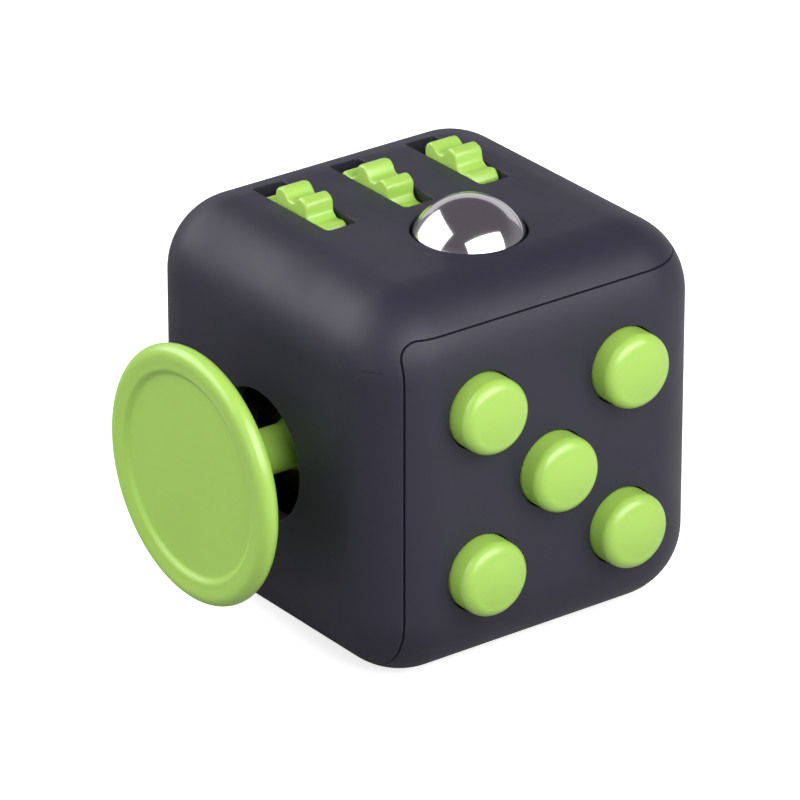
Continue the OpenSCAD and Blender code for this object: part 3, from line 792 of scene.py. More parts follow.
class Look(Enum):
    """The cube's finishes."""

    # The edge colours are lighter than the base colours: rubbed edges and a painted edge highlight.
    SOFT_TOUCH = Finish(
        slot="charcoal_soft_touch", color=(0.0235, 0.0215, 0.038), worn_and_lit_color=(0.055, 0.051, 0.075),
        roughness=0.52, specular=0.42, grain=11000.0, grain_depth=0.000006, evenness=0.35,
        drift=0.10, smears=0.10, wear_and_highlight=0.30,
    )
    # The lime's edge colour is a painted highlight, the pale colour of its lit rim.
    LIME = Finish(
        slot="lime_plastic", color=(0.41, 0.69, 0.105), worn_and_lit_color=(0.60, 0.83, 0.30),
        roughness=0.38, specular=0.95, grain=7000.0, grain_depth=0.0000025, evenness=0.5,
        drift=0.05, smears=0.10, wear_and_highlight=0.45, glow=0.12,
    )
    POLISHED = Finish(
        slot="polished_steel", color=(0.62, 0.60, 0.61), worn_and_lit_color=(0.75, 0.74, 0.75),
        roughness=0.11, metallic=1.0, grain=2600.0, grain_depth=0.0000003,
        drift=0.05, smears=0.05, wear_and_highlight=0.0, brushed=True,
    )
    # Darker than black plastic under light: this deep black is black plastic and also painted shade in the
    # stick's hole.
    BLACK = Finish(
        slot="black_plastic", color=(0.006, 0.006, 0.007), worn_and_lit_color=(0.03, 0.03, 0.033), roughness=0.5,
        specular=0.3, grain=8000.0, grain_depth=0.000005, drift=0.1, wear_and_highlight=0.2,
    )
    GREY = Finish(
        slot="grey_plastic", color=(0.17, 0.17, 0.18), worn_and_lit_color=(0.30, 0.30, 0.31), roughness=0.5,
        grain=8000.0, grain_depth=0.000005, drift=0.08, wear_and_highlight=0.3,
    )
    NYLON = Finish(
        slot="white_nylon", color=(0.74, 0.73, 0.69), worn_and_lit_color=(0.82, 0.81, 0.78), roughness=0.42,
        grain=7000.0, grain_depth=0.000004, drift=0.04, wear_and_highlight=0.1, glow=0.2,
    )
    SILICONE = Finish(
        slot="black_silicone", color=(0.012, 0.012, 0.013), worn_and_lit_color=(0.05, 0.05, 0.052), roughness=0.62,
        specular=0.35, grain=12000.0, grain_depth=0.000004, drift=0.1, smears=0.15, wear_and_highlight=0.2,
    )
    SPRING = Finish(
        slot="spring_steel", color=(0.50, 0.50, 0.51), worn_and_lit_color=(0.68, 0.68, 0.70), roughness=0.28, metallic=1.0,
        grain=5000.0, grain_depth=0.000002, drift=0.1, smears=0.12, wear_and_highlight=0.3, brushed=True,
    )
    ZINC = Finish(
        slot="zinc_steel", color=(0.55, 0.56, 0.58), worn_and_lit_color=(0.75, 0.76, 0.78), roughness=0.34, metallic=1.0,
        grain=9000.0, grain_depth=0.000003, drift=0.12, smears=0.15, wear_and_highlight=0.4,
    )


class Paintbox:
    """Builds each finish once and puts it on pieces and on CAD nodes."""

    def __init__(self) -> None:
        effects = Effects()
        self.materials = {look: look.value.build(effects) for look in Look}

    def dress(self, piece: bpy.types.Object, look: Look, body: str, *nodes: str) -> bpy.types.Object:
        """Finishes a new piece and hands it to the frame.

        Args:
            piece: the piece, in metres.
            look: its finish.
            body: the CAD body that it rides on.
            nodes: the CAD nodes that it stands for.

        Returns:
            The piece.
        """
        piece.data.materials.clear()
        piece.data.materials.append(self.materials[look])
        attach(piece, body)
        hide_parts(*nodes)
        log.info("%s: %d faces, %s, on %s", piece.name, len(piece.data.polygons), look.value.slot, body)
        return piece

    def finish_node(self, node: str, look: Look) -> None:
        """Puts a finish on a CAD node that is shown as it is.

        Args:
            node: name of the CAD node.
            look: its finish.
        """
        obj = frame["nodes"][node]
        if not obj.material_slots:
            obj.data.materials.append(self.materials[look])
        for slot in obj.material_slots:
            slot.material = self.materials[look]
        log.info("%s: CAD node, %s", node, look.value.slot)


# ---------------------------------------------------------------- casing


@dataclass
class Casing:
    """The two moulded halves, with everything moulded inside them.

    Args:
        cube: the cube's frame.
        edge_radius: radius of the outer edges.
        wall: thickness of the wall.
        seam_gap: gap between the halves.
        seam_drop: depth of the seam below the face that it runs beside.
        seam_corner: radius of the seam's round corners.
        lip: rounding of every opening's edge, apart from the buttons' and the dish's.
        edge_steps: rows of faces in half of an outer edge.
        cavity_steps: the same for the edges of the hollow inside.
        button_radius: radius of a button.
        button_clear: gap round a button.
        button_lip: rounding of the edge of a button's hole.
        slot_width, slot_length, slot_corner: sizes of a wheel's slot.
        ball_clear: gap between the ball and the spherical seat in the wall.
        ball_ring: width of the gap round the ball at the surface.
        stick_hole: radius of the stick's hole.
        rocker_opening: width of the rocker's opening, and radius of its ends about the pin.
        rocker_corner: radius of that opening's corners.
        recess: radius and depth of the dial's recess.
        hub_hole: radius of the hole for the dial's hub.
        dish: radius and depth of the thumb dish.
        dish_lip: rounding of the dish's rim.
        dish_pad: how far the pad behind the dish reaches past its rim.
        pilot: radius of a screw's pilot hole.
        boss_radius: radius of a screw boss.
        boss_height: height over the wall of the bosses under the stick's and the rocker's housings.
        sunk: how far a boss, a pilot hole, and a pad or rib reach into the wall that they stand on.
        lug: a locating lug's depth below the wall and its width.
        lug_reach: how far a lug reaches from the seam, on the half with pegs and on the half with holes.
        lug_gap: gap between the wall and a lug with a hole.
        peg: radius and length of a lug's peg.
        peg_root: how far a peg starts before the seam, and how far it lies below the wall.
        peg_clear: gap round a peg.
        rib: half the thickness, half the width and the drop below the axle of a rib that holds the axle.
        rib_places: each rib's place along the axle, in shares of the distance between wheels.
        line: height, width and depth of the mould line on the left face.
        line_run: where the mould line starts and ends in front of the cube's middle.
    """

    cube: CubeFrame
    edge_radius: float = 6.3
    wall: float = 2.0
    seam_gap: float = 0.15
    seam_drop: float = 2.8
    seam_corner: float = 1.6
    lip: float = 0.16
    edge_steps: int = 9
    cavity_steps: int = 6
    button_radius: float = 3.15
    button_clear: float = 0.12
    button_lip: float = 0.08
    slot_width: float = 2.9
    slot_length: float = 10.34
    slot_corner: float = 0.35
    ball_clear: float = 0.1
    ball_ring: float = 0.24
    stick_hole: float = 5.5
    rocker_opening: tuple[float, float] = (7.0, 5.4)
    rocker_corner: float = 0.5
    recess: tuple[float, float] = (9.8, 0.5)
    hub_hole: float = 3.08
    dish: tuple[float, float] = (8.4, 1.6)
    dish_lip: float = 1.2
    dish_pad: float = 1.1
    pilot: float = 0.72
    boss_radius: float = 1.4
    boss_height: float = 2.0
    sunk: tuple[float, float, float] = (0.4, 0.2, 0.3)
    lug: tuple[float, float] = (3.2, 3.0)
    lug_reach: tuple[float, float] = (2.6, 1.3)
    lug_gap: float = 0.6
    peg: tuple[float, float] = (0.6, 2.2)
    peg_root: tuple[float, float] = (1.0, 2.0)
    peg_clear: float = 0.05
    rib: tuple[float, float, float] = (0.8, 2.65, 1.9)
    rib_places: tuple[float, ...] = (-1.4, -0.5, 0.5, 1.4)
    line: tuple[float, float, float] = (11.3, 0.05, 0.05)
    line_run: tuple[float, float] = (14.4, 12.9)

    @property
    def core(self) -> float:
        """Distance from the middle to where the outer edges begin to round."""
        return self.cube.half - self.edge_radius

    def region(self, grow: float) -> bpy.types.Object:
        """The rear half's share of the cube.

        Args:
            grow: margin added on every side of the seam.

        Returns:
            A solid about the cube's middle.
        """
        far = 3 * self.cube.half
        core = self.core
        inner = self.cube.half - self.seam_drop - grow
        rim = core + math.sqrt(self.edge_radius**2 - (inner - core) ** 2)
        boxes = [
            ((-far, -far, inner), (far, far, far)),
            ((-far, -far, -far), (-inner, far, far)),
            ((-far, inner, -far), (far, far, far)),
            ((-far, -far, core), (-core, far, far)),
            ((-far, core, -far), (-core, far, far)),
            ((-far, core, core), (far, far, far)),
        ]
        solids = [block(f"share_{i}", low, high) for i, (low, high) in enumerate(boxes)]
        share = work(solids[0], Cut.ADD, solids[1:])
        work(share, Cut.KEEP, [block("limit", (-2 * far, -rim, -rim), (rim, 2 * far, 2 * far))])
        work(share, Cut.AWAY, self.panel_corners(grow))
        return place(share, Matrix.Translation(self.cube.centre))

    def panel_corners(self, grow: float) -> list[bpy.types.Object]:
        """The parts of the front half's three panels whose round corners reach into the rear half.

        Args:
            grow: margin added on every side of the seam.

        Returns:
            One solid for each panel, about the cube's middle.
        """
        far = 3 * self.cube.half
        at = self.cube.half - self.seam_drop - self.seam_corner
        inner = at + self.seam_corner - grow
        corner = [(0, 0), (0, inner)] + arc(-at, at, self.seam_corner - grow, 90, 180, 10) + [(-inner, 0)]
        mirrored = [(-x, y) for x, y in corner[::-1]]
        level = Matrix.Rotation(math.radians(90), 4, "X")
        return [
            place(loft("front_corner", [(corner, self.core), (corner, far)]), level),
            place(
                loft("right_corner", [(mirrored, self.core), (mirrored, far)]),
                Matrix.Rotation(math.radians(90), 4, "Z") @ level,
            ),
            loft("bottom_corner", [(corner, -far), (corner, -self.core)]),
        ]

    def hollow_cube(self, name: str) -> bpy.types.Object:
        """The whole hollow casing, before it is parted.

        Args:
            name: name of the object.

        Returns:
            The solid, in its place.
        """
        outer = rounded_box(name, self.cube.half, self.edge_radius, self.edge_steps)
        inside = self.cube.half - self.wall
        cavity = rounded_box("cavity", inside, self.edge_radius - self.wall, self.cavity_steps)
        work(outer, Cut.AWAY, [cavity])
        return place(outer, Matrix.Translation(self.cube.centre))

    def round_mouth(self, radius: float, depth: float, lip: float | None = None) -> bpy.types.Object:
        """A tool for a round hole whose outer edge is softened.

        Args:
            radius, depth: sizes of the hole.
            lip: rounding of its edge, or None for the casing's own.

        Returns:
            The tool, in the face's local frame.
        """
        lip = self.lip if lip is None else lip
        mouth = arc(radius + lip, -lip, lip, 90, 180, 4)
        outline = [(0, 1), (radius + lip, 1)] + mouth + [(radius, -depth), (0, -depth)]
        return lathe("mouth", outline)

    def slot_mouth(self, width: float, length: float, corner: float, depth: float) -> bpy.types.Object:
        """A tool for a slot with round corners, whose outer edge is softened.

        Args:
            width, length, depth: sizes of the slot.
            corner: radius of its corners.

        Returns:
            The tool, in the face's local frame.
        """
        levels = [(2 * self.lip, 1.0)]
        levels += [(2 * (x + self.lip), z) for x, z in arc(0, -self.lip, self.lip, 90, 180, 4)]
        levels += [(0.0, -depth)]
        return loft(
            "slot",
            [(rounded_rectangle(width + g, length + g, corner + g / 2), z) for g, z in levels],
        )

    def rocker_mouth(self, pin: Vector) -> bpy.types.Object:
        """A tool for the rocker's opening, whose ends follow the rocker's swing.

        Args:
            pin: middle of the rocker's pin, in the face's local frame.

        Returns:
            The tool, in the face's local frame.
        """
        width, radius = self.rocker_opening
        lip, corner, steps = self.lip, self.rocker_corner, 7
        reach = math.sqrt(radius**2 - pin.z**2)
        levels = []
        for grow, z in [(lip, 1.0)] + [(x + lip, z) for x, z in arc(0, -lip, lip, 90, 180, 4)]:
            levels.append((rounded_rectangle(width + 2 * grow, 2 * (reach + grow), corner + grow), z))
        for i in range(1, steps + 1):
            z = -lip - (self.wall - lip + 0.6) * i / steps
            reach = math.sqrt(radius**2 - (pin.z - z) ** 2)
            levels.append((rounded_rectangle(width, 2 * reach, corner), z))
        return loft("rocker_mouth", levels)

    def ball_mouth(self, centre: Vector, ball_radius: float) -> bpy.types.Object:
        """A tool for the ball's opening: a ring of clearance over a spherical seat.

        Args:
            centre: the ball's middle, in the face's local frame.
            ball_radius: the ball's radius.

        Returns:
            The tool, in the face's local frame.
        """
        relief = ball_radius + self.ball_clear
        ring = math.sqrt(ball_radius**2 - centre.z**2) + self.ball_ring
        meet = centre.z + math.sqrt(relief**2 - ring**2)
        start = math.degrees(math.asin((meet - centre.z) / relief))
        outline = [(0, 1), (ring + self.lip, 1)] + arc(ring + self.lip, -self.lip, self.lip, 90, 180, 4)
        outline += arc(0, centre.z, relief, start, -90, 16)
        outline[-1] = (0, centre.z - relief)
        return place(lathe("ball_mouth", outline), Matrix.Translation((centre.x, centre.y, 0)))

    def dish_tool(self) -> bpy.types.Object:
        """A tool for the thumb dish, whose rim rolls softly into the face.

        Returns:
            The tool, in the face's local frame.
        """
        radius, depth = self.dish
        sphere = (radius**2 + depth**2) / (2 * depth)
        above = sphere - depth
        lip = self.dish_lip
        rim = math.sqrt((sphere + lip) ** 2 - (above + lip) ** 2)
        touch = math.degrees(math.atan2(above + lip, rim))
        bowl = arc(0, above, sphere, -90, -touch, 20)
        bowl[0] = (0, -depth)
        roll = arc(rim, -lip, lip, 180 - touch, 90, 8)
        return lathe("dish", bowl + roll[1:] + [(rim, 1), (0, 1)], steps=128)

    def boss(
        self, side: Side, x: float, y: float, depth: float
    ) -> tuple[bpy.types.Object, bpy.types.Object]:
        """A screw boss on the inside of a wall.

        Args:
            side: the wall.
            x, y: its place on the face.
            depth: how far below the face it ends.

        Returns:
            The boss and the tool for its pilot hole.
        """
        where = self.cube.on(side) @ Matrix.Translation((x, y, 0))
        boss_sunk, pilot_sunk, _ = self.sunk
        body = place(post("boss", self.boss_radius, -self.wall + boss_sunk, -depth), where)
        pilot = place(post("pilot", self.pilot, -self.wall + pilot_sunk, -depth - 1, 32), where)
        return body, pilot

    def lug_frames(self, ball_y: float) -> list[Matrix]:
        """The places of the six locating lugs.

        Args:
            ball_y: the ball's place, which one lug stands clear of.

        Returns:
            Their frames, whose local X points across the seam.
        """
        turns = [
            (Side.FRONT, 90, 0),
            (Side.FRONT, 180, 0),
            (Side.RIGHT, 90, -ball_y),
            (Side.RIGHT, 0, 0),
            (Side.BOTTOM, 180, 0),
            (Side.BOTTOM, -90, 0),
        ]
        frames = []
        for side, turn, shift in turns:
            across = Matrix.Rotation(math.radians(turn), 4, "Z") @ Matrix.Translation((0, shift, 0))
            frames.append(self.cube.on(side) @ across)
        return frames

    def lugs(self, ball_y: float, pegs: bool) -> tuple[list[bpy.types.Object], list[bpy.types.Object]]:
        """Locating lugs of one half.

        Args:
            ball_y: the ball's place, which one lug stands clear of.
            pegs: True for the lugs with pegs, False for those with holes.

        Returns:
            The solids to add and the tools for the holes.
        """
        flat = self.cube.half - self.seam_drop
        wall = self.wall
        depth, width = self.lug
        peg_side, hole_side = self.lug_reach
        peg, length = self.peg
        before, below = self.peg_root
        low, high, half = -wall - depth, -wall, width / 2
        solids, holes = [], []
        along = Matrix.Rotation(math.radians(90), 4, "Y")
        for where in self.lug_frames(ball_y):
            axis = where @ Matrix.Translation((flat - before, 0, -wall - below)) @ along
            if pegs:
                lug = block("lug", (flat - peg_side, -half, low), (flat, half, high))
                solids += [place(lug, where), place(post("peg", peg, length, 0, 32), axis)]
            else:
                lug = block("lug", (flat, -half, low), (flat + hole_side, half, high - self.lug_gap))
                hole = post("hole", peg + self.peg_clear, length + 2 * self.peg_clear, 0, 32)
                solids.append(place(lug, where))
                holes.append(place(hole, axis))
        return solids, holes

    def build_front(self) -> bpy.types.Object:
        """Moulds the half that has the click, dial and dish faces.

        Returns:
            The front half, in metres.
        """
        cube = self.cube
        shell = self.hollow_cube("casing_front")
        work(shell, Cut.AWAY, [self.region(self.seam_gap)])
        ball_y = middle_mm("roll_ball").y
        solids, _ = self.lugs(ball_y, pegs=True)
        depth = box_mm("click_backplate")[0].y + cube.half
        corner = box_mm("click_backplate")[1].x - self.boss_radius
        pitch = (middle_mm("button_top_right").x - middle_mm("button_top_left").x) / 2
        pilots = []
        for x, y in ((corner, corner), (corner, -corner), (-corner, -corner), (-pitch, 0)):
            body, pilot = self.boss(Side.FRONT, x, y, depth)
            solids.append(body)
            pilots.append(pilot)
        dish_radius, dish_depth = self.dish
        pad_radius = dish_radius + self.dish_pad
        pad_end = -self.wall - dish_depth + 0.1
        dish_pad = post("dish_pad", pad_radius, -self.wall + self.sunk[2], pad_end)
        solids.append(place(dish_pad, cube.on(Side.BOTTOM)))
        work(shell, Cut.ADD, solids)
        tools = list(pilots)
        for name in BUTTONS:
            at = cube.local(Side.FRONT, middle_mm(name))
            hole = self.round_mouth(self.button_radius + self.button_clear, self.wall + 1, self.button_lip)
            tools.append(place(hole, cube.on(Side.FRONT) @ Matrix.Translation((at.x, at.y, 0))))
        tools.append(place(self.round_mouth(*self.recess), cube.on(Side.RIGHT)))
        tools.append(place(post("hub", self.hub_hole, 1, -self.wall - 1), cube.on(Side.RIGHT)))
        tools.append(place(self.dish_tool(), cube.on(Side.BOTTOM)))
        return smooth(work(shell, Cut.AWAY, tools))

    def build_rear(self) -> bpy.types.Object:
        """Moulds the half that has the roll, glide and flip faces.

        Returns:
            The rear half, in metres.
        """
        cube = self.cube
        shell = self.hollow_cube("casing_rear")
        work(shell, Cut.KEEP, [self.region(0)])
        top = cube.on(Side.TOP)
        ball = cube.local(Side.TOP, middle_mm("roll_ball"))
        axle = cube.local(Side.TOP, middle_mm("wheel_axle"))
        solids, tools = self.lugs(ball.y, pegs=False)
        for solid, pilot in self.rear_bosses(ball):
            solids.append(solid)
            tools.append(pilot)
        work(shell, Cut.ADD, solids + self.axle_ribs(axle))
        ball_radius = (box_mm("roll_ball")[1].x - box_mm("roll_ball")[0].x) / 2
        for name in WHEELS:
            slot = self.slot_mouth(self.slot_width, self.slot_length, self.slot_corner, self.wall + 0.6)
            tools.append(place(slot, top @ Matrix.Translation((middle_mm(name).x, axle.y, 0))))
        tools.append(place(self.ball_mouth(ball, ball_radius), top))
        stick = cube.local(Side.LEFT, middle_mm("stick_stem"))
        stick_at = cube.on(Side.LEFT) @ Matrix.Translation((stick.x, stick.y, 0))
        tools.append(place(self.round_mouth(self.stick_hole, self.wall + 1), stick_at))
        pin = cube.local(Side.BACK, middle_mm("rocker_pin"))
        tools.append(place(self.rocker_mouth(pin), cube.on(Side.BACK)))
        tools.append(self.mould_line())
        return smooth(work(shell, Cut.AWAY, tools))

    def mould_line(self) -> bpy.types.Object:
        """A tool for the faint line that the mould leaves on the left face, beside the front edge.

        Returns:
            The tool, in its place.
        """
        half, (height, width, depth), (front, back) = self.cube.half, self.line, self.line_run
        low, high = height - width / 2, height + width / 2
        solid = block("line", (-half - 1, -front, low), (-self.core, -back, high))
        inside = rounded_box("inside", half - depth, self.edge_radius - depth, self.edge_steps)
        return place(work(solid, Cut.AWAY, [inside]), Matrix.Translation(self.cube.centre))

    def rear_bosses(self, ball: Vector) -> list[tuple[bpy.types.Object, bpy.types.Object]]:
        """The rear half's screw bosses.

        Args:
            ball: the ball's middle, in the top face's local frame.

        Returns:
            Pairs of a boss and the tool for its pilot hole.
        """
        cube_top = 2 * self.cube.half
        spring_top = cube_top - box_mm("wheel_click_spring")[1].z
        screws_high = box_mm("wheel_bracket_screws")[1]
        head = (box_mm("dial_screw")[1].z - box_mm("dial_screw")[0].z) / 2
        across = screws_high.x - head
        rear = screws_high.y - head
        flange_and_head = 2.1
        housing_top = cube_top - box_mm("ball_housing_screws")[0].z - flange_and_head
        ball_across = box_mm("ball_housing_screws")[1].x - head
        stick_across = box_mm("stick_housing_screws")[1].y - head
        stick_y = self.cube.local(Side.LEFT, middle_mm("stick_stem")).y
        rocker_across = box_mm("rocker_housing_screws")[1].x - head
        seat = self.wall + self.boss_height
        found = []
        for sign in (-1, 1):
            found.append(self.boss(Side.TOP, sign * ball_across, ball.y, housing_top))
            found.append(self.boss(Side.TOP, sign * across, 0, housing_top))
            found.append(self.boss(Side.TOP, sign * across, rear, spring_top))
            found.append(self.boss(Side.LEFT, sign * stick_across, stick_y, seat))
            found.append(self.boss(Side.BACK, sign * rocker_across, 0, seat))
        return found

    def axle_ribs(self, axle: Vector) -> list[bpy.types.Object]:
        """The ribs that the wheels' axle lies in, with their notches cut.

        Args:
            axle: the axle's middle, in the top face's local frame.

        Returns:
            The ribs, in their places.
        """
        pitch = middle_mm("wheel_right").x
        radius = (box_mm("wheel_axle")[1].z - box_mm("wheel_axle")[0].z) / 2 + 0.02
        thick, wide, drop = self.rib
        ribs = []
        for x in [share * pitch for share in self.rib_places]:
            low = (x - thick, axle.y - wide, axle.z - drop)
            rib = block("rib", low, (x + thick, axle.y + wide, -self.wall + self.sunk[2]))
            along = Matrix.Translation((x, axle.y, axle.z)) @ Matrix.Rotation(math.radians(90), 4, "Y")
            notch = place(post("notch", radius, 2, -2), along)
            gap = block("gap", (x - 2, axle.y - radius, axle.z - 3), (x + 2, axle.y + radius, axle.z))
            ribs.append(place(work(rib, Cut.AWAY, [notch, gap]), self.cube.on(Side.TOP)))
        return ribs


# ---------------------------------------------------------------- click face


@dataclass
class ClickFace:
    """Five push buttons over a rubber dome pad, and the plate that holds them.

    Args:
        cube: the cube's frame.
        radius: radius of a button.
        edge: rounding of a button's top edge.
        crown: rise of the middle of its top over its rim.
        flange: radius and thickness of the collar that keeps it in.
        flange_rise: height of the collar's upper face over the stem's end.
        groove: inner and outer radius of the ring moulded out of its underside.
        groove_top: height of that ring's floor over the collar's upper face.
        stem: radius of the stem below the collar.
        stem_edge: rounding of the stem's end.
        flange_edge: rounding of the collar's edges.
    """

    cube: CubeFrame
    radius: float = 3.15
    edge: float = 1.0
    crown: float = 0.25
    flange: tuple[float, float] = (4.15, 0.8)
    flange_rise: float = 2.0
    groove: tuple[float, float] = (1.8, 2.7)
    groove_top: float = 1.4
    stem: float = 1.2
    stem_edge: float = 0.2
    flange_edge: float = 0.15

    def button_outline(self, top: float, flange_top: float, end: float) -> Outline:
        """The outline of a button.

        Args:
            top: height of the middle of its top.
            flange_top: height of the collar's upper face.
            end: height of the stem's end.

        Returns:
            Points from the stem's end round to the middle of the top.
        """
        flat = self.radius - self.edge
        sweep = (flat**2 + self.crown**2) / (2 * self.crown)
        open_angle = math.degrees(math.asin(flat / sweep))
        collar, thick = self.flange
        under = flange_top - thick
        inner, outer = self.groove
        groove_top = flange_top + self.groove_top
        small, mid = self.stem_edge, self.flange_edge
        outline = [(0, end)] + arc(self.stem - small, end + small, small, -90, 0, 3)
        outline += [(self.stem, under), (inner, under), (inner, groove_top), (outer, groove_top)]
        outline += [(outer, under)] + arc(collar - mid, under + mid, mid, -90, 0, 3)
        outline += arc(collar - mid, flange_top - mid, mid, 0, 90, 3)
        outline += [(self.radius, flange_top)]
        outline += arc(flat, top - self.crown - self.edge, self.edge, 0, 90, 12)
        outline += arc(0, top - sweep, sweep, 90 - open_angle, 90, 8)[1:]
        outline[-1] = (0, top)
        return outline

    def build(self, paint: Paintbox) -> None:
        """Builds the buttons and dresses what lies behind them.

        Args:
            paint: the finishes.
        """
        front = self.cube.on(Side.FRONT)
        for node in BUTTONS:
            low, high = box_mm(node)
            at = self.cube.local(Side.FRONT, (low + high) / 2)
            top = self.cube.local(Side.FRONT, low).z
            end = self.cube.local(Side.FRONT, high).z
            outline = self.button_outline(top, end + self.flange_rise, end)
            piece = lathe(node.replace("button", "cap"), outline, steps=96)
            place(piece, front @ Matrix.Translation((at.x, at.y, 0)))
            paint.dress(smooth(piece), Look.LIME, body_of(node), node)
        paint.finish_node("button_dome_pad", Look.SILICONE)
        paint.finish_node("click_snap_domes", Look.SPRING)
        paint.finish_node("click_backplate", Look.GREY)
        paint.finish_node("click_plate_screws", Look.ZINC)


# ---------------------------------------------------------------- roll face


@dataclass
class RollFace:
    """Three toothed wheels on one axle and a steel ball in its seat.

    Args:
        cube: the cube's frame.
        tip: radius over a wheel's teeth.
        tooth: depth of the valleys.
        teeth: number of teeth.
        edge: rounding of the wheel's side edges.
        crests: angle of a crest from straight up towards the back, left to right.
        bore: radius of the wheel's hole.
        hollow: inner and outer radius of the shallow ring in each side.
        hollow_depth: depth of that ring.
        chamfer: width of the small bevels round the bore and in the ring.
        outline_step: degrees between two points of the toothed outline.
        ball_steps: rows of faces in half of each of the ball's six patches.
    """

    cube: CubeFrame
    tip: float = 4.65
    tooth: float = 0.9
    teeth: int = 9
    edge: float = 0.28
    crests: tuple[float, float, float] = (19.6, 11.6, -12.3)
    bore: float = 0.8
    hollow: tuple[float, float] = (1.5, 2.7)
    hollow_depth: float = 0.3
    chamfer: float = 0.1
    outline_step: float = 1.25
    ball_steps: int = 20

    def wave(self, angle: float) -> float:
        """Returns the wheel's radius at an angle in degrees from a crest: broad crests, narrow valleys."""
        lift = math.sin(math.pi / 2 * math.cos(math.radians(self.teeth * angle)))
        return self.tip - self.tooth + self.tooth * (0.5 + 0.5 * lift)

    def wheel(self, name: str, node: str, crest: float) -> bpy.types.Object:
        """Builds one wheel.

        Args:
            name: name of the piece.
            node: the CAD node that it stands for.
            crest: angle of a crest from straight up towards the back.

        Returns:
            The wheel, in metres.
        """
        low, high = box_mm(node)
        axle = middle_mm("wheel_axle")
        angles = [self.outline_step * i for i in range(round(360 / self.outline_step))]
        turned = [math.radians(a + crest) for a in angles]
        radii = [self.wave(a) for a in angles]

        def ring(x: float, inset: float) -> Ring:
            """The toothed outline, drawn in by an inset, at one place along the axle."""
            return [
                (x, axle.y + (r - inset) * math.sin(t), axle.z + (r - inset) * math.cos(t))
                for r, t in zip(radii, turned)
            ]

        def circle(x: float, radius: float) -> Ring:
            """A plain ring at one place along the axle."""
            return [(x, axle.y + radius * math.sin(t), axle.z + radius * math.cos(t)) for t in turned]

        inner, outer = self.hollow
        bore, cham, deep, edge = self.bore, self.chamfer, self.hollow_depth, self.edge
        left, right = low.x, high.x
        rings = [circle(left + cham, bore), circle(left, bore + cham), circle(left, inner)]
        rings += [circle(left + deep, inner + cham), circle(left + deep, outer - cham), circle(left, outer)]
        rings += [ring(left + edge - z, edge - x) for x, z in arc(0, 0, edge, 90, 0, 5)]
        rings += [ring(right - edge + z, edge - x) for x, z in arc(0, 0, edge, 0, 90, 5)]
        rings += [circle(right, outer), circle(right - deep, outer - cham)]
        rings += [circle(right - deep, inner + cham), circle(right, inner)]
        rings += [circle(right, bore + cham), circle(right - cham, bore)]
        return smooth(skin(name, rings, closed=True), sharp_angle=40)

    def build(self, paint: Paintbox) -> None:
        """Builds the wheels and the ball, and dresses what holds them.

        Args:
            paint: the finishes.
        """
        for node, crest in zip(WHEELS, self.crests):
            piece = self.wheel(node.replace("wheel", "roller"), node, crest)
            paint.dress(piece, Look.LIME, body_of(node), node)
        low, high = box_mm("roll_ball")
        radius = (high.x - low.x) / 2
        ball = rounded_box("steel_ball", radius, radius, self.ball_steps)
        place(ball, Matrix.Translation((low + high) / 2))
        paint.dress(smooth(ball), Look.POLISHED, body_of("roll_ball"), "roll_ball")
        paint.finish_node("wheel_axle", Look.SPRING)
        paint.finish_node("wheel_bracket", Look.GREY)
        paint.finish_node("wheel_click_spring", Look.SPRING)
        paint.finish_node("wheel_bracket_screws", Look.ZINC)
        paint.finish_node("ball_seat", Look.NYLON)
        paint.finish_node("ball_cup", Look.GREY)
        paint.finish_node("ball_spring", Look.SPRING)
        paint.finish_node("ball_snap_dome", Look.SPRING)
        paint.finish_node("ball_housing", Look.GREY)
        paint.finish_node("ball_housing_screws", Look.ZINC)


# ---------------------------------------------------------------- glide face


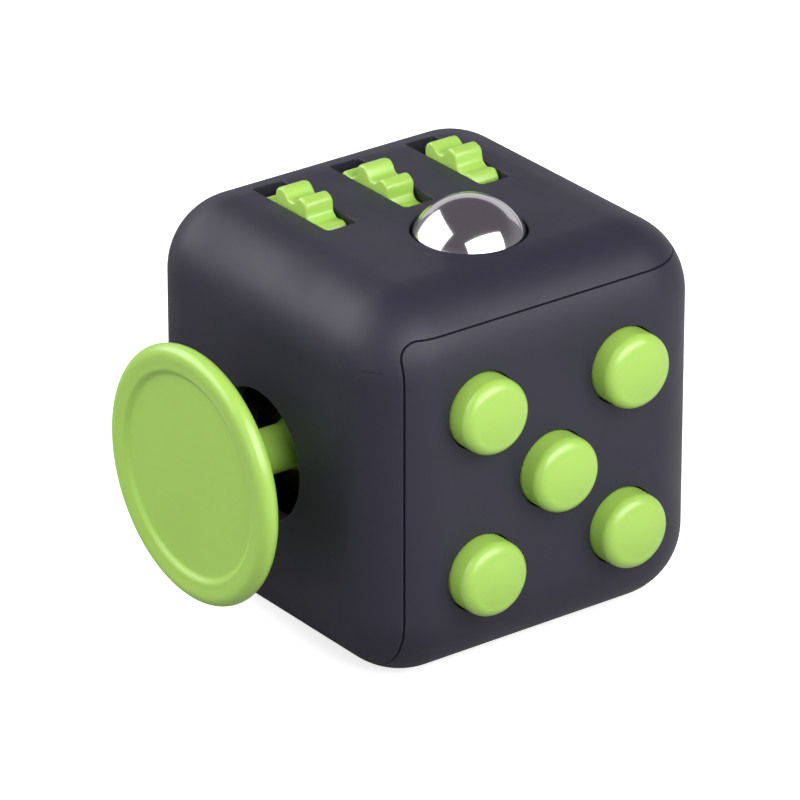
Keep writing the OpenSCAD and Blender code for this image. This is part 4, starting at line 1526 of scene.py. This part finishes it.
@dataclass
class GlideFace:
    """The thumb stick: a disc on a stem that tilts about its pivot ball.

    Args:
        cube: the cube's frame.
        thick: thickness of the disc at its rim.
        flat: radius of the disc's sunken middle.
        shoulder: radius and depth of the place where the rim's slow fall turns into a quick one.
        sink: depth of the middle below the rim.
        boss: radius and length of the boss behind the disc.
        boss_edge: rounding of the boss's end.
        boss_root: rounding where the boss meets the disc.
        peg: radius and length of the stem's peg in the disc.
        stem: radius of the stem's waist.
        pivot: radius of the pivot ball.
        pivot_depth: depth of the pivot below the face.
        peg_edge: rounding of the peg's end.
    """

    cube: CubeFrame
    thick: float = 1.7
    flat: float = 8.15
    shoulder: tuple[float, float] = (8.85, 0.09)
    sink: float = 0.45
    boss: tuple[float, float] = (2.9, 1.6)
    boss_edge: float = 0.25
    boss_root: float = 0.6
    peg: tuple[float, float] = (1.1, 1.2)
    stem: float = 1.9
    pivot: float = 2.35
    pivot_depth: float = 4.2
    peg_edge: float = 0.15

    def disc(self) -> bpy.types.Object:
        """Turns the disc with its sunken middle and its boss.

        Returns:
            The disc, in metres.
        """
        low, high = box_mm("stick_disc")
        front = self.cube.local(Side.LEFT, low).z
        back = front - self.thick
        radius = (high.z - low.z) / 2
        rim = self.thick / 2
        boss, boss_length = self.boss
        peg, peg_length = self.peg
        end = back - boss_length
        outline = [(0, end + peg_length), (peg, end + peg_length), (peg, end)]
        edge, root = self.boss_edge, self.boss_root
        outline += arc(boss - edge, end + edge, edge, -90, 0, 4)
        outline += arc(boss + root, back - root, root, 180, 90, 6)
        outline += arc(radius - rim, back + rim, rim, -90, 90, 24)
        shoulder, dip = self.shoulder
        outline += ease(radius - rim, front, shoulder, front - dip, 6)[1:]
        outline += ease(shoulder, front - dip, self.flat, front - self.sink, 8)[1:]
        outline += [(self.flat - 0.5, front - self.sink), (0, front - self.sink)]
        return smooth(place(lathe("thumb_disc", outline, steps=144), self.axis()))

    def axis(self) -> Matrix:
        """Returns the frame of the stick: on the left face, with Z along the stem."""
        at = self.cube.local(Side.LEFT, middle_mm("stick_stem"))
        return self.cube.on(Side.LEFT) @ Matrix.Translation((at.x, at.y, 0))

    def stick(self) -> bpy.types.Object:
        """Turns the stem with its pivot ball and its peg.

        Returns:
            The stem, in metres.
        """
        centre = -self.pivot_depth
        peg, peg_length = self.peg
        peg_end = self.cube.local(Side.LEFT, box_mm("stick_stem")[0]).z
        shoulder = peg_end - peg_length
        boss = self.boss[0]
        meet = math.degrees(math.acos(self.stem / self.pivot))
        outline = arc(0, centre, self.pivot, -90, meet, 24)
        outline[0] = (0, centre - self.pivot)
        outline += arc(boss, shoulder - 1.0, boss - self.stem, 180, 90, 8)
        outline += [(boss, shoulder), (peg, shoulder)]
        outline += arc(peg - self.peg_edge, peg_end - self.peg_edge, self.peg_edge, 0, 90, 3)
        outline.append((0, peg_end))
        return smooth(place(lathe("thumb_stem", outline, steps=96), self.axis()))

    def build(self, paint: Paintbox) -> None:
        """Builds the stick and dresses its socket.

        Args:
            paint: the finishes.
        """
        paint.dress(self.disc(), Look.LIME, "stick", "stick_disc")
        paint.dress(self.stick(), Look.LIME, "stick", "stick_stem")
        paint.finish_node("stick_cup", Look.NYLON)
        paint.finish_node("stick_spring", Look.SPRING)
        # The socket ring and housing take the deep black that also paints the shade in the hole.
        paint.finish_node("stick_socket_ring", Look.BLACK)
        paint.finish_node("stick_housing", Look.BLACK)
        paint.finish_node("stick_housing_screws", Look.ZINC)


# ---------------------------------------------------------------- flip face


@dataclass
class FlipFace:
    """The rocker, which flips about its pin.

    Args:
        cube: the cube's frame.
        width: width of the rocker.
        radius: radius of its ends about the pin.
        crest: height of the middle of its top over the pin.
        swing: angle between its two positions, in degrees.
        cam: radius of the round foot that clicks.
        foot: half the width of that foot.
        under: distance of the underside from the pin.
        edge: rounding of its edges.
        blend: rounding of the middle of its top.
        pin_bore: radius of the hole for the pin.
        detent: distance from the pin, and radius, of the two grooves in the foot.
        valley_steps: number of straight pieces in each half of its top.
    """

    cube: CubeFrame
    width: float = 6.6
    radius: float = 5.2
    crest: float = 3.2
    swing: float = 24.0
    cam: float = 3.2
    foot: float = 2.2
    under: float = 1.5
    edge: float = 0.4
    blend: float = 0.8
    pin_bore: float = 0.85
    detent: tuple[float, float] = (3.5, 0.65)
    valley_steps: int = 12

    def outline(self) -> Outline:
        """The rocker's side view.

        Returns:
            Points (out, along) about its pin.
        """
        slope = math.tan(math.radians(self.swing / 2))

        def top(y: float) -> float:
            """Height of the shallow V at a distance from its middle."""
            return self.crest + slope * (math.hypot(y, self.blend) - self.blend)

        # The top meets the round end where it is first a radius away from the pin, to a thousandth.
        thousandths = [i / 1000 for i in range(2000, 6000)]
        tip = next(y for y in thousandths if math.hypot(y, top(y)) >= self.radius)
        start = math.degrees(math.atan2(tip, top(tip)))
        end = math.degrees(math.acos(-self.under / self.radius))
        cam_end = math.degrees(math.asin(self.foot / self.cam))
        steps = self.valley_steps
        valley = [(top(tip * i / steps), tip * i / steps) for i in range(1 - steps, steps)]
        one_end = arc(0, 0, self.radius, start, end, 18)
        foot = arc(0, 0, self.cam, 180 - cam_end, 180 + cam_end, 16)
        other_end = arc(0, 0, self.radius, -end, -start, 18)
        return valley + one_end + [(-self.under, self.foot)] + foot + [(-self.under, -self.foot)] + other_end

    def rocker(self) -> bpy.types.Object:
        """Builds the rocker in its rest position.

        Returns:
            The rocker, in metres.
        """
        pin = self.cube.local(Side.BACK, middle_mm("rocker_pin"))
        half = self.width / 2
        side = self.outline()
        body = skin("flip_rocker", [[(x, y, out) for out, y in side] for x in (-half, half)])
        soften(body, self.edge, min_angle=25, steps=4)
        across = Matrix.Rotation(math.radians(90), 4, "Y")
        tools = [place(post("bore", self.pin_bore, half + 1, -half - 1), across)]
        reach, bump = self.detent
        for sign in (-1, 1):
            turn = Matrix.Rotation(math.radians(sign * self.swing / 2), 4, "X")
            where = turn @ Matrix.Translation((0, 0, -reach)) @ across
            tools.append(place(post("groove", bump, half + 1, -half - 1, 32), where))
        work(body, Cut.AWAY, tools)
        rest = Matrix.Rotation(math.radians(self.swing / 2), 4, "X")
        return smooth(place(body, self.cube.on(Side.BACK) @ Matrix.Translation(pin) @ rest))

    def build(self, paint: Paintbox) -> None:
        """Builds the rocker and dresses what holds it.

        Args:
            paint: the finishes.
        """
        paint.dress(self.rocker(), Look.LIME, body_of("rocker"), "rocker")
        paint.finish_node("rocker_pin", Look.SPRING)
        paint.finish_node("rocker_housing", Look.BLACK)
        paint.finish_node("rocker_click_spring", Look.SPRING)
        paint.finish_node("rocker_housing_screws", Look.ZINC)


# ---------------------------------------------------------------- spin face


@dataclass
class SpinFace:
    """The dial, with a dimple for a fingertip.

    Args:
        cube: the cube's frame.
        under: height of the dial's underside over the face.
        rim: rounding of its outer edge.
        dimple: radius of the sphere that the dimple follows.
        dimple_depth: depth of the dimple.
        dimple_lip: rounding of the dimple's rim.
        hub: radius of the hub.
        screw_hole: radius and depth of the hole in the hub.
        chamfer: width of the small bevels on the underside.
        steps: number of points round the dial.
        spread_steps: number of rings between the dimple's rim and the dial's.
    """

    cube: CubeFrame
    under: float = -0.2
    rim: float = 0.6
    dimple: float = 4.2
    dimple_depth: float = 1.0
    dimple_lip: float = 0.5
    hub: float = 3.0
    screw_hole: tuple[float, float] = (0.72, 2.4)
    chamfer: float = 0.1
    steps: int = 128
    spread_steps: int = 8

    def dial(self) -> bpy.types.Object:
        """Builds the dial, whose rings move over from the dimple's middle to its own.

        Returns:
            The dial, in metres.
        """
        low, high = box_mm("dial")
        top = self.cube.local(Side.RIGHT, high).z
        bottom = self.cube.local(Side.RIGHT, low).z
        radius = (high.y - low.y) / 2
        at = radius / 2
        flat = radius - self.rim

        def ring(centre: float, size: float, z: float) -> Ring:
            """A ring of the dial's surface whose middle lies along local X."""
            turns = [2 * math.pi * i / self.steps for i in range(self.steps)]
            return [(centre + size * math.cos(t), size * math.sin(t), z) for t in turns]

        floor = top - self.dimple_depth
        lip = self.dimple_lip
        middle = floor + self.dimple
        edge = math.sqrt((self.dimple + lip) ** 2 - (middle - top + lip) ** 2)
        touch = math.degrees(math.atan2(middle - top + lip, edge))
        bowl = arc(0, middle, self.dimple, -90, -touch, 12)
        bowl += arc(edge, top - lip, lip, 180 - touch, 90, 6)[1:]
        rings = [[(at, 0, floor)]] + [ring(at, r, z) for r, z in bowl[1:]]
        for i in range(1, self.spread_steps + 1):
            share = i / self.spread_steps
            rings.append(ring(at * (1 - share), edge + (flat - edge) * share, top))
        hole, hole_depth = self.screw_hole
        cham = self.chamfer
        outside = arc(flat, top - self.rim, self.rim, 90, 0, 8)[1:]
        outside += [(radius, self.under + cham), (radius - cham, self.under), (self.hub, self.under)]
        outside += [(self.hub, bottom + cham), (self.hub - cham, bottom)]
        outside += [(hole, bottom), (hole, bottom + hole_depth)]
        rings += [ring(0, r, z) for r, z in outside]
        rings.append([(0, 0, bottom + hole_depth)])
        return smooth(place(skin("spin_dial", rings), self.cube.on(Side.RIGHT)))

    def build(self, paint: Paintbox) -> None:
        """Builds the dial and dresses what holds it.

        Args:
            paint: the finishes.
        """
        paint.dress(self.dial(), Look.LIME, body_of("dial"), "dial")
        paint.finish_node("dial_washer", Look.NYLON)
        paint.finish_node("dial_screw", Look.ZINC)


# ---------------------------------------------------------------- studio


@dataclass
class SoftBox:
    """A rectangular studio light that faces the cube.

    Args:
        name: name of the light.
        toward: direction from the cube to the light.
        along: direction of its long side.
        size: length of its long and short side, in metres.
        distance: how far away it stands, in metres.
        radiance: brightness of its face.
    """

    name: str
    toward: tuple[float, float, float]
    along: tuple[float, float, float]
    size: tuple[float, float]
    distance: float
    radiance: float

    def build(self, target: Vector) -> bpy.types.Object:
        """Places the light.

        Args:
            target: the point that it faces.

        Returns:
            The light.
        """
        light = bpy.data.lights.new(self.name, "AREA")
        light.shape = "RECTANGLE"
        light.size, light.size_y = self.size
        light.energy = self.radiance * math.pi * self.size[0] * self.size[1]
        obj = bpy.data.objects.new(self.name, light)
        bpy.context.scene.collection.objects.link(obj)
        out = Vector(self.toward).normalized()
        side = Vector(self.along)
        side = (side - out * side.dot(out)).normalized()
        turn = Matrix((side, out.cross(side), out)).transposed().to_4x4()
        obj.matrix_world = Matrix.Translation(target + out * self.distance) @ turn
        obj.visible_camera = False
        return obj


@dataclass
class Studio:
    """The pale floor, the soft light and the camera.

    Args:
        cube: the cube's frame.
        azimuth, elevation: the camera's direction from the cube, in degrees.
        distance: the camera's distance, in metres.
        lens: focal length on a 36 mm sensor, in millimetres.
        framing: how far the picture's middle lies to the right of and above the cube's middle, in metres.
        floor_size: width of the floor, in metres.
        pool: brightness of the lit part of the floor, as the cube's reflections show it.
        pool_toward: direction in which the floor gets brighter.
        pool_fade: where along that direction it starts and ends getting brighter, in metres.
        boxes: the studio lights.
    """

    cube: CubeFrame
    azimuth: float = -36.73
    elevation: float = 25.37
    distance: float = 0.5452
    lens: float = 306.2
    framing: tuple[float, float] = (-0.00201, -0.00048)
    floor_size: float = 4.0
    pool: float = 0.9
    pool_toward: tuple[float, float, float] = (0.707, -0.707, 0.0)
    pool_fade: tuple[float, float] = (-0.01, 0.05)
    boxes: list[SoftBox] = field(
        default_factory=lambda: [
            SoftBox(
                "left_softbox", toward=(-0.57, 0.57, 0.59), along=(-0.545, -0.805, 0.235),
                size=(0.28, 0.15), distance=0.20, radiance=2.8,
            ),
            SoftBox(
                "right_softbox", toward=(0.03, -0.80, 0.60), along=(1.0, 0.0, -0.04),
                size=(0.26, 0.13), distance=0.20, radiance=4.6,
            ),
            SoftBox(
                "back_card", toward=(0.62, 0.70, 0.28), along=(0.75, -0.66, 0.0),
                size=(1.1, 0.30), distance=0.70, radiance=0.5,
            ),
            SoftBox(
                "left_fill", toward=(-0.95, -0.25, 0.15), along=(0.0, 1.0, 0.0),
                size=(0.2, 0.2), distance=0.35, radiance=0.8,
            ),
        ]
    )

    def camera(self) -> None:
        """Places the camera and makes it the scene's own."""
        turn, rise = math.radians(self.azimuth), math.radians(self.elevation)
        back = Vector((math.sin(turn) * math.cos(rise), -math.cos(turn) * math.cos(rise), math.sin(rise)))
        right = Vector((math.cos(turn), math.sin(turn), 0))
        up = back.cross(right)
        aim = self.cube.centre * MM + right * self.framing[0] + up * self.framing[1]
        lens = bpy.data.cameras.new("view")
        lens.lens = self.lens
        lens.sensor_width = 36.0
        lens.clip_start = 0.01
        lens.clip_end = 20.0
        obj = bpy.data.objects.new("view", lens)
        bpy.context.scene.collection.objects.link(obj)
        turn_to_view = Matrix((right, up, back)).transposed().to_4x4()
        obj.matrix_world = Matrix.Translation(aim + back * self.distance) @ turn_to_view
        bpy.context.scene.camera = obj

    def floor(self) -> None:
        """Lays the pale floor: white to the camera, dim to the cube, and partly bright in its reflections."""
        half = self.floor_size / 2
        corners = [(-half, -half), (half, -half), (half, half), (-half, half)]
        mesh = bpy.data.meshes.new("floor")
        mesh.from_pydata([(x, y, 0) for x, y in corners], [], [(0, 1, 2, 3)])
        floor = link("floor", mesh)
        material = bpy.data.materials.new("pale_floor")
        material.use_nodes = True
        nodes = Nodes(material.node_tree)
        shown = material.node_tree.nodes["Principled BSDF"]
        nodes.feed(
            shown,
            Base_Color=(0.80, 0.80, 0.80, 1.0),
            Roughness=0.9,
            Specular_IOR_Level=0.0,
            Emission_Color=(1.0, 1.0, 1.0, 1.0),
            Emission_Strength=0.75,
        )
        bounce = nodes.add("ShaderNodeBsdfDiffuse")
        nodes.feed(bounce, Color=(0.30, 0.30, 0.31, 1.0))
        pool = nodes.add("ShaderNodeEmission")
        nodes.feed(pool, Color=(1.0, 1.0, 1.0, 1.0), Strength=self.pool)
        across = nodes.add("ShaderNodeVectorMath", operation="DOT_PRODUCT")
        nodes.tree.links.new(nodes.add("ShaderNodeNewGeometry").outputs["Position"], across.inputs[0])
        across.inputs[1].default_value = self.pool_toward
        lit = nodes.spread(across.outputs["Value"], *self.pool_fade)
        path = nodes.add("ShaderNodeLightPath")
        mirrored = nodes.add("ShaderNodeMixShader")
        nodes.tree.links.new(nodes.math("MULTIPLY", path.outputs["Is Glossy Ray"], lit), mirrored.inputs[0])
        nodes.tree.links.new(bounce.outputs[0], mirrored.inputs[1])
        nodes.tree.links.new(pool.outputs[0], mirrored.inputs[2])
        choose = nodes.add("ShaderNodeMixShader")
        nodes.tree.links.new(path.outputs["Is Camera Ray"], choose.inputs[0])
        nodes.tree.links.new(mirrored.outputs[0], choose.inputs[1])
        nodes.tree.links.new(shown.outputs[0], choose.inputs[2])
        nodes.tree.links.new(choose.outputs[0], nodes.tree.nodes["Material Output"].inputs["Surface"])
        mesh.materials.append(material)

    def surroundings(self) -> None:
        """Makes the room: paler near the horizon, dimmer overhead, with the studio lights in it."""
        world = bpy.data.worlds.new("studio")
        bpy.context.scene.world = world
        world.use_nodes = True
        nodes = Nodes(world.node_tree)
        world.node_tree.nodes.clear()
        direction = nodes.add("ShaderNodeTexCoord").outputs["Generated"]
        split = nodes.add("ShaderNodeSeparateXYZ")
        nodes.tree.links.new(direction, split.inputs[0])
        dark = nodes.spread(split.outputs["Z"], 0.12, 0.62)
        sky = nodes.mix(dark, (0.30, 0.30, 0.32, 1.0), (0.15, 0.14, 0.16, 1.0))
        shade = nodes.add("ShaderNodeBackground")
        nodes.feed(shade, Color=sky, Strength=1.0)
        out = nodes.add("ShaderNodeOutputWorld")
        nodes.tree.links.new(shade.outputs[0], out.inputs[0])
        for box in self.boxes:
            box.build(self.cube.centre * MM)

    def build(self) -> None:
        """Builds the whole studio."""
        self.camera()
        self.floor()
        self.surroundings()
        bpy.context.scene.view_settings.view_transform = "Standard"
        log.info("studio: camera, floor and %d lights", len(self.boxes))


def plain(bounds: tuple[Sequence[float], Sequence[float]]) -> list[list[float]]:
    """Returns a box's corners as plain lists of numbers."""
    return [[float(value) for value in corner] for corner in bounds]


def main() -> None:
    """Builds the cube's sub-assemblies in order, then the studio."""
    logging.basicConfig(level=logging.INFO, format="%(name)s: %(message)s")
    cube = CubeFrame.from_cad()
    paint = Paintbox()
    casing = Casing(cube)
    paint.dress(casing.build_front(), Look.SOFT_TOUCH, "cube", "shell_front_half")
    paint.dress(casing.build_rear(), Look.SOFT_TOUCH, "cube", "shell_rear_half")
    for assembly in (ClickFace(cube), RollFace(cube), GlideFace(cube), FlipFace(cube), SpinFace(cube)):
        assembly.build(paint)
    Studio(cube).build()


if __name__ == "__main__":
    main()
